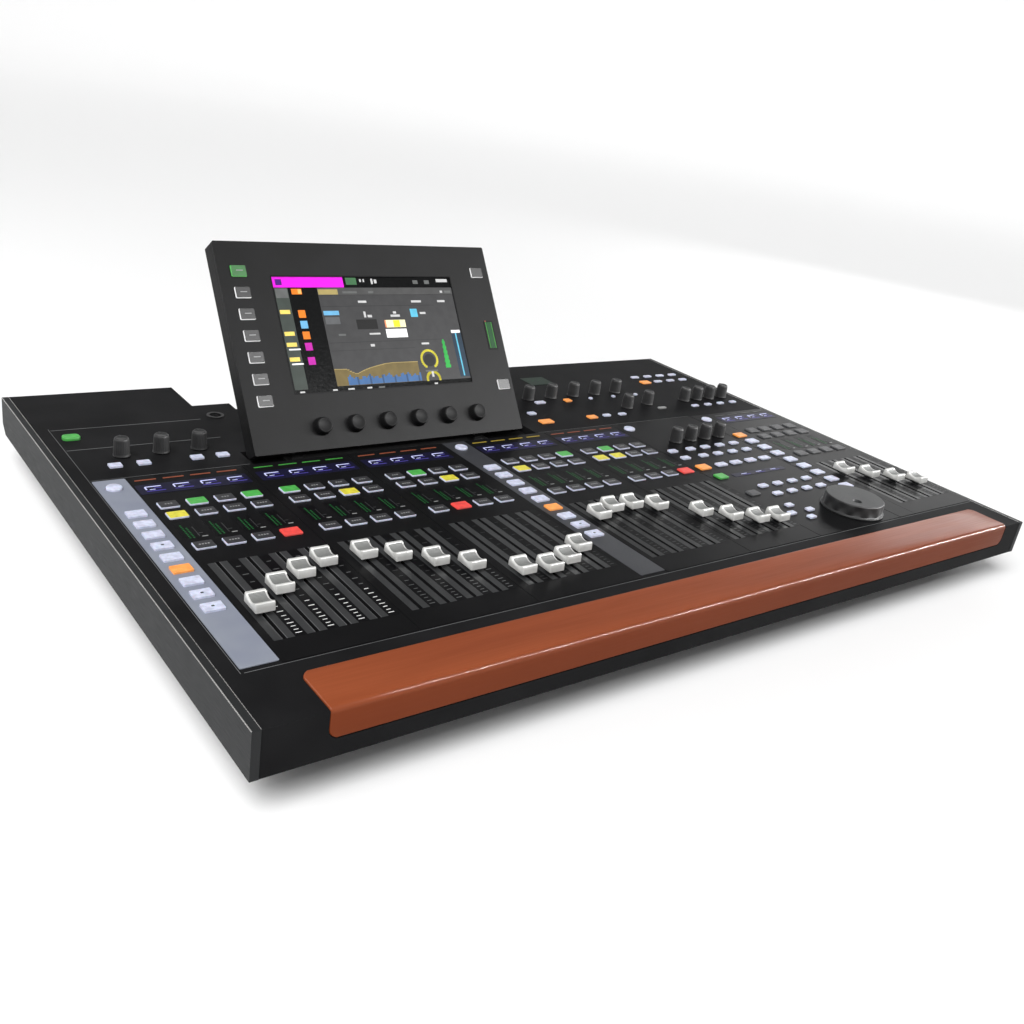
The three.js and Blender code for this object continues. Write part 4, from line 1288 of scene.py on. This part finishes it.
class BuildRear(bpy.types.Operator):
    """Builds the socket rings, contacts and screws of the connector plate"""
    bl_idname = "mixing_desk.rear"
    bl_label = "Connectors"
    audio = [720 + i * 32 for i in range(4)]
    data = [624 + i * 30 for i in range(2)]
    mains = 560
    height = -18

    def execute(self, context):
        place = self.rear_place()
        bm = bmesh.new()
        for x in self.audio:
            self.ring(bm, DESK_WIDTH - x, self.height, 11.5, 8.1, 1.4)
        self.square_frame(bm, DESK_WIDTH - self.mains, self.height, 34, 25, 26.4, 18.4, 1.6)
        for x in self.data:
            self.square_frame(bm, DESK_WIDTH - x, self.height, 19, 17, 14.4, 12.4, 1.2)
        make_piece("socket_frames", bm, ["steel"], "desk", place)
        bm = bmesh.new()
        for x in self.audio:
            for px, py in contacts(DESK_WIDTH - x, self.height, 4):
                turned(bm, px, py, ((1.1, -12.6), (1.1, -3), (0.7, -2.4), (0.1, -2.2)), 12)
        for dx in (-7, 0, 7):
            slab(bm, DESK_WIDTH - self.mains + dx, self.height + (2 if dx == 0 else -2), 1.8, 4,
                 -14.6, -5, 0.3, 0.2)
        make_piece("socket_contacts", bm, ["steel"], "desk", place)
        bm = bmesh.new()
        for x in (526, 592, 672, 704, 736, 768, 800, 832, 844):
            for y in (self.height - 11.4, self.height + 11.4):
                screw_head(bm, DESK_WIDTH - x, y, 0.0, 1.4)
        make_piece("connector_screws", bm, ["steel", "groove"], "desk", place)
        self.blank_plates(place)
        return {"FINISHED"}

    def rear_place(self):
        """A frame on the connector plate's outer face, seen from behind."""
        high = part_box("connector_plate")[1]
        turn = Matrix.Rotation(math.pi, 4, "Z") @ Matrix.Rotation(math.pi / 2, 4, "X")
        corner = Vector((-FRONT_LEFT.x, high.y, DECK_TOP))
        return Matrix.Translation(corner) @ turn

    def ring(self, bm, x, y, outer, inner, thick):
        cut_plate(bm, circle(x, y, outer, 36), [circle(x, y, inner, 36)], 0.0, thick)

    def square_frame(self, bm, x, y, width, height, hole_width, hole_height, thick):
        outer = rounded_outline(x, y, width, height, 2)
        inner = rounded_outline(x, y, hole_width, hole_height, 0.8)
        cut_plate(bm, outer, [inner], 0.0, thick)

    def blank_plates(self, place):
        """Cooling slots in the rear wall of the left wing, as a louvred grille."""
        bm = bmesh.new()
        for i in range(16):
            slab(bm, DESK_WIDTH - 30 - i * 7.4, self.height + 1, 3.4, 20, 0.15, 0.95, 1.4, 0.3)
        make_piece("rear_louvres", bm, ["pan"], "desk", place)


class BuildUnderside(bpy.types.Operator):
    """Adds the screws and louvres under the tray"""
    bl_idname = "mixing_desk.underside"
    bl_label = "Underside"

    def execute(self, context):
        low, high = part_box("bottom_pan")
        place = Matrix.Translation((0, 0, low.z)) @ Matrix.Rotation(math.pi, 4, "X")
        reach_x, reach_y = high.x / MM, high.y / MM
        bm = bmesh.new()
        for x in (-390, -260, -130, 0, 130, 260, 390):
            for y in (-190, 190):
                screw_head(bm, x, -y, 0.0, 3)
        make_piece("tray_screws", bm, ["steel", "groove"], "desk", place)
        bm = bmesh.new()
        for side in (-1, 1):
            for i in range(24):
                slab(bm, side * 190 + (i - 11.5) * 8, -40, 4, 60, -0.2, 0.8, 1.8, 0.4)
        make_piece("tray_louvres", bm, ["pan"], "desk", place)
        rim = Matrix.Translation((0, 0, low.z + 22 * MM)) @ Matrix.Rotation(math.pi, 4, "X")
        bm = bmesh.new()
        for x in (-reach_x + 6, reach_x - 6):
            for y in (-240, -120, 0, 120, 240):
                screw_head(bm, x, -y, 0.0, 2.6)
        for x in (-380, -300, 120, 250, 380):
            screw_head(bm, x, 8 - reach_y, 0.0, 2.6)
        make_piece("rim_screws", bm, ["steel", "groove"], "desk", rim)
        return {"FINISHED"}


class BuildDeckDetails(bpy.types.Operator):
    """Adds the lamp socket at the rear"""
    bl_idname = "mixing_desk.deck_details"
    bl_label = "Deck details"

    def execute(self, context):
        bm = bmesh.new()
        x, y = LAMP_SOCKET
        cut_plate(bm, circle(x, y, 8.5, 40), [circle(x, y, 5.6, 40)], 0.0, 0.8)
        turned(bm, x, y, ((5.6, 0.05), (5.6, 0.2), (0.2, 0.2)), 32, 1)
        for px, py in contacts(x, y, 3):
            turned(bm, px, py, ((0.7, 0.1), (0.7, 0.4), (0.1, 0.4)), 10, 1)
        make_piece("lamp_socket", bm, ["knob", "groove"], "desk")
        return {"FINISHED"}


# ---------------------------------------------------------------- stage

CAMERA_SPOT = (-0.6476, -0.7321, 0.4288)
CAMERA_AZIMUTH, CAMERA_ELEVATION, CAMERA_ROLL = -40.35, 23.46, 9.31
CAMERA_LENS = 36.21
# The paper sweep: radius and height, in metres, from the middle of the floor to its rolled-up rim
SWEEP = ((0.02, 0), (2, 0), (5.5, 0), (6.4, 0.12), (7.1, 0.45), (7.6, 1.0), (7.85, 1.8), (7.9, 2.8))


# Softboxes: name, spot and target in metres, share of the set power, width and height in metres, and the
# direction of a strip's long side. The strip is only mirrored: it draws the thin line along the armrest.
SOFTBOXES = (
    ("key_softbox", (-1.3, -0.8, 1.2), (-0.1, 0, 0.06), 2.5, 1.2, 1.2, None),
    ("left_softbox", (-1.4, 1.0, 0.75), (-0.3, 0, 0.06), 1.1, 0.7, 0.4, None),
    ("ridge_striplight", (1.3, -1.14, 1.1), (0, -0.29, 0.06), 28, 2.2, 0.03, (1.17, 0.52, -0.63)),
    ("right_softbox", (2.1, 0.75, 0.66), (0.4, -0.1, 0.06), 1, 1.1, 0.4, None),
)


class BuildStage(bpy.types.Operator):
    """Builds the pale floor, the soft lights and the camera"""
    bl_idname = "mixing_desk.stage"
    bl_label = "Studio"

    def execute(self, context):
        stage = context.scene.mixing_desk_stage
        self.camera(context)
        self.floor(context)
        self.surround(context)
        self.lamp("SUN", "soft_sky", (-0.75, -0.4, 1.5), (0, 0, 0), stage.sky_strength,
                  angle=math.radians(45))
        for name, spot, target, share, size, size_y, along in SOFTBOXES:
            lamp = self.lamp("AREA", name, spot, target, stage.softbox_power * share, along,
                             shape="RECTANGLE", size=size, size_y=size_y)
            lamp.visible_diffuse = not along
        context.scene.view_settings.view_transform = "Standard"
        return {"FINISHED"}

    def camera(self, context):
        data = bpy.data.cameras.new("camera")
        data.lens = CAMERA_LENS
        data.sensor_width = 36
        data.clip_start = 0.01
        camera = bpy.data.objects.new("camera", data)
        context.collection.objects.link(camera)
        azimuth, elevation, roll = (math.radians(v) for v in (CAMERA_AZIMUTH, CAMERA_ELEVATION, CAMERA_ROLL))
        behind = Vector((math.sin(azimuth) * math.cos(elevation), -math.cos(azimuth) * math.cos(elevation),
                         math.sin(elevation)))
        level = behind.to_track_quat("Z", "Y").to_matrix().to_4x4()
        camera.matrix_world = Matrix.Translation(CAMERA_SPOT) @ level @ Matrix.Rotation(roll, 4, "Z")
        context.scene.camera = camera

    def floor(self, context):
        material, tree, shader = base_material("matt_studio_paper", {"Roughness": 0.9})
        shader.inputs["Base Color"].default_value = context.scene.mixing_desk_stage.floor_colour
        bm = bmesh.new()
        rings = [[(x, y, z) for x, y, _ in round_ring(0, 0, radius, 0, 64)] for radius, z in SWEEP]
        loft(bm, rings, close_high=False, smooth=True)
        mesh = bpy.data.meshes.new("floor")
        bm.to_mesh(mesh)
        bm.free()
        mesh.materials.append(material)
        floor = bpy.data.objects.new("floor", mesh)
        floor.location.z = -0.0005
        context.collection.objects.link(floor)

    def surround(self, context):
        world = bpy.data.worlds.new("studio")
        world.use_nodes = True
        background = world.node_tree.nodes["Background"]
        background.inputs["Color"].default_value = linear("ffffff")
        background.inputs["Strength"].default_value = context.scene.mixing_desk_stage.world_strength
        context.scene.world = world

    def lamp(self, kind, name, spot, target, energy, along=None, **settings):
        """A light that shines from a spot to a target, its long side turned along a direction."""
        data = bpy.data.lights.new(name, kind)
        data.energy = energy
        for field, value in settings.items():
            setattr(data, field, value)
        lamp = bpy.data.objects.new(name, data)
        out = (Vector(spot) - Vector(target)).normalized()
        turn = out.to_track_quat("Z", "Y").to_matrix()
        if along:
            side = (Vector(along) - out * out.dot(Vector(along))).normalized()
            turn = Matrix((side, out.cross(side), out)).transposed()
        lamp.matrix_world = Matrix.Translation(spot) @ turn.to_4x4()
        bpy.context.collection.objects.link(lamp)
        return lamp


# ---------------------------------------------------------------- panel and start


OPERATORS = (BuildBody, BuildEdges, BuildArmrest, BuildOverlays, BuildScales, BuildFaders, BuildKnobs,
             BuildWheel, BuildKeys, BuildLiveKeys, BuildLamps, BuildDisplay, BuildScreen, BuildRear,
             BuildUnderside, BuildDeckDetails, BuildStage)


class MixingDeskPanel(bpy.types.Panel):
    """Lists the builders of the desk"""
    bl_idname = "VIEW3D_PT_mixing_desk"
    bl_label = "Mixing desk"
    bl_space_type = "VIEW_3D"
    bl_region_type = "UI"
    bl_category = "Mixing desk"

    def draw(self, context):
        layout = self.layout
        for field in ("key_height", "plate_thickness"):
            layout.prop(context.scene.mixing_desk_keys, field)
        for field in ("floor_colour", "sky_strength", "softbox_power", "world_strength"):
            layout.prop(context.scene.mixing_desk_stage, field)
        for operator in OPERATORS:
            layout.operator(operator.bl_idname)


CLASSES = (DeskKeySettings, DeskStageSettings, *OPERATORS, MixingDeskPanel)


def register():
    for cls in CLASSES:
        bpy.utils.register_class(cls)
    bpy.types.Scene.mixing_desk_keys = bpy.props.PointerProperty(type=DeskKeySettings)
    bpy.types.Scene.mixing_desk_stage = bpy.props.PointerProperty(type=DeskStageSettings)


def unregister():
    del bpy.types.Scene.mixing_desk_stage
    del bpy.types.Scene.mixing_desk_keys
    for cls in reversed(CLASSES):
        bpy.utils.unregister_class(cls)


def main():
    register()
    for operator in OPERATORS:
        family, name = operator.bl_idname.split(".")
        getattr(getattr(bpy.ops, family), name)()


if __name__ == "__main__":
    main()
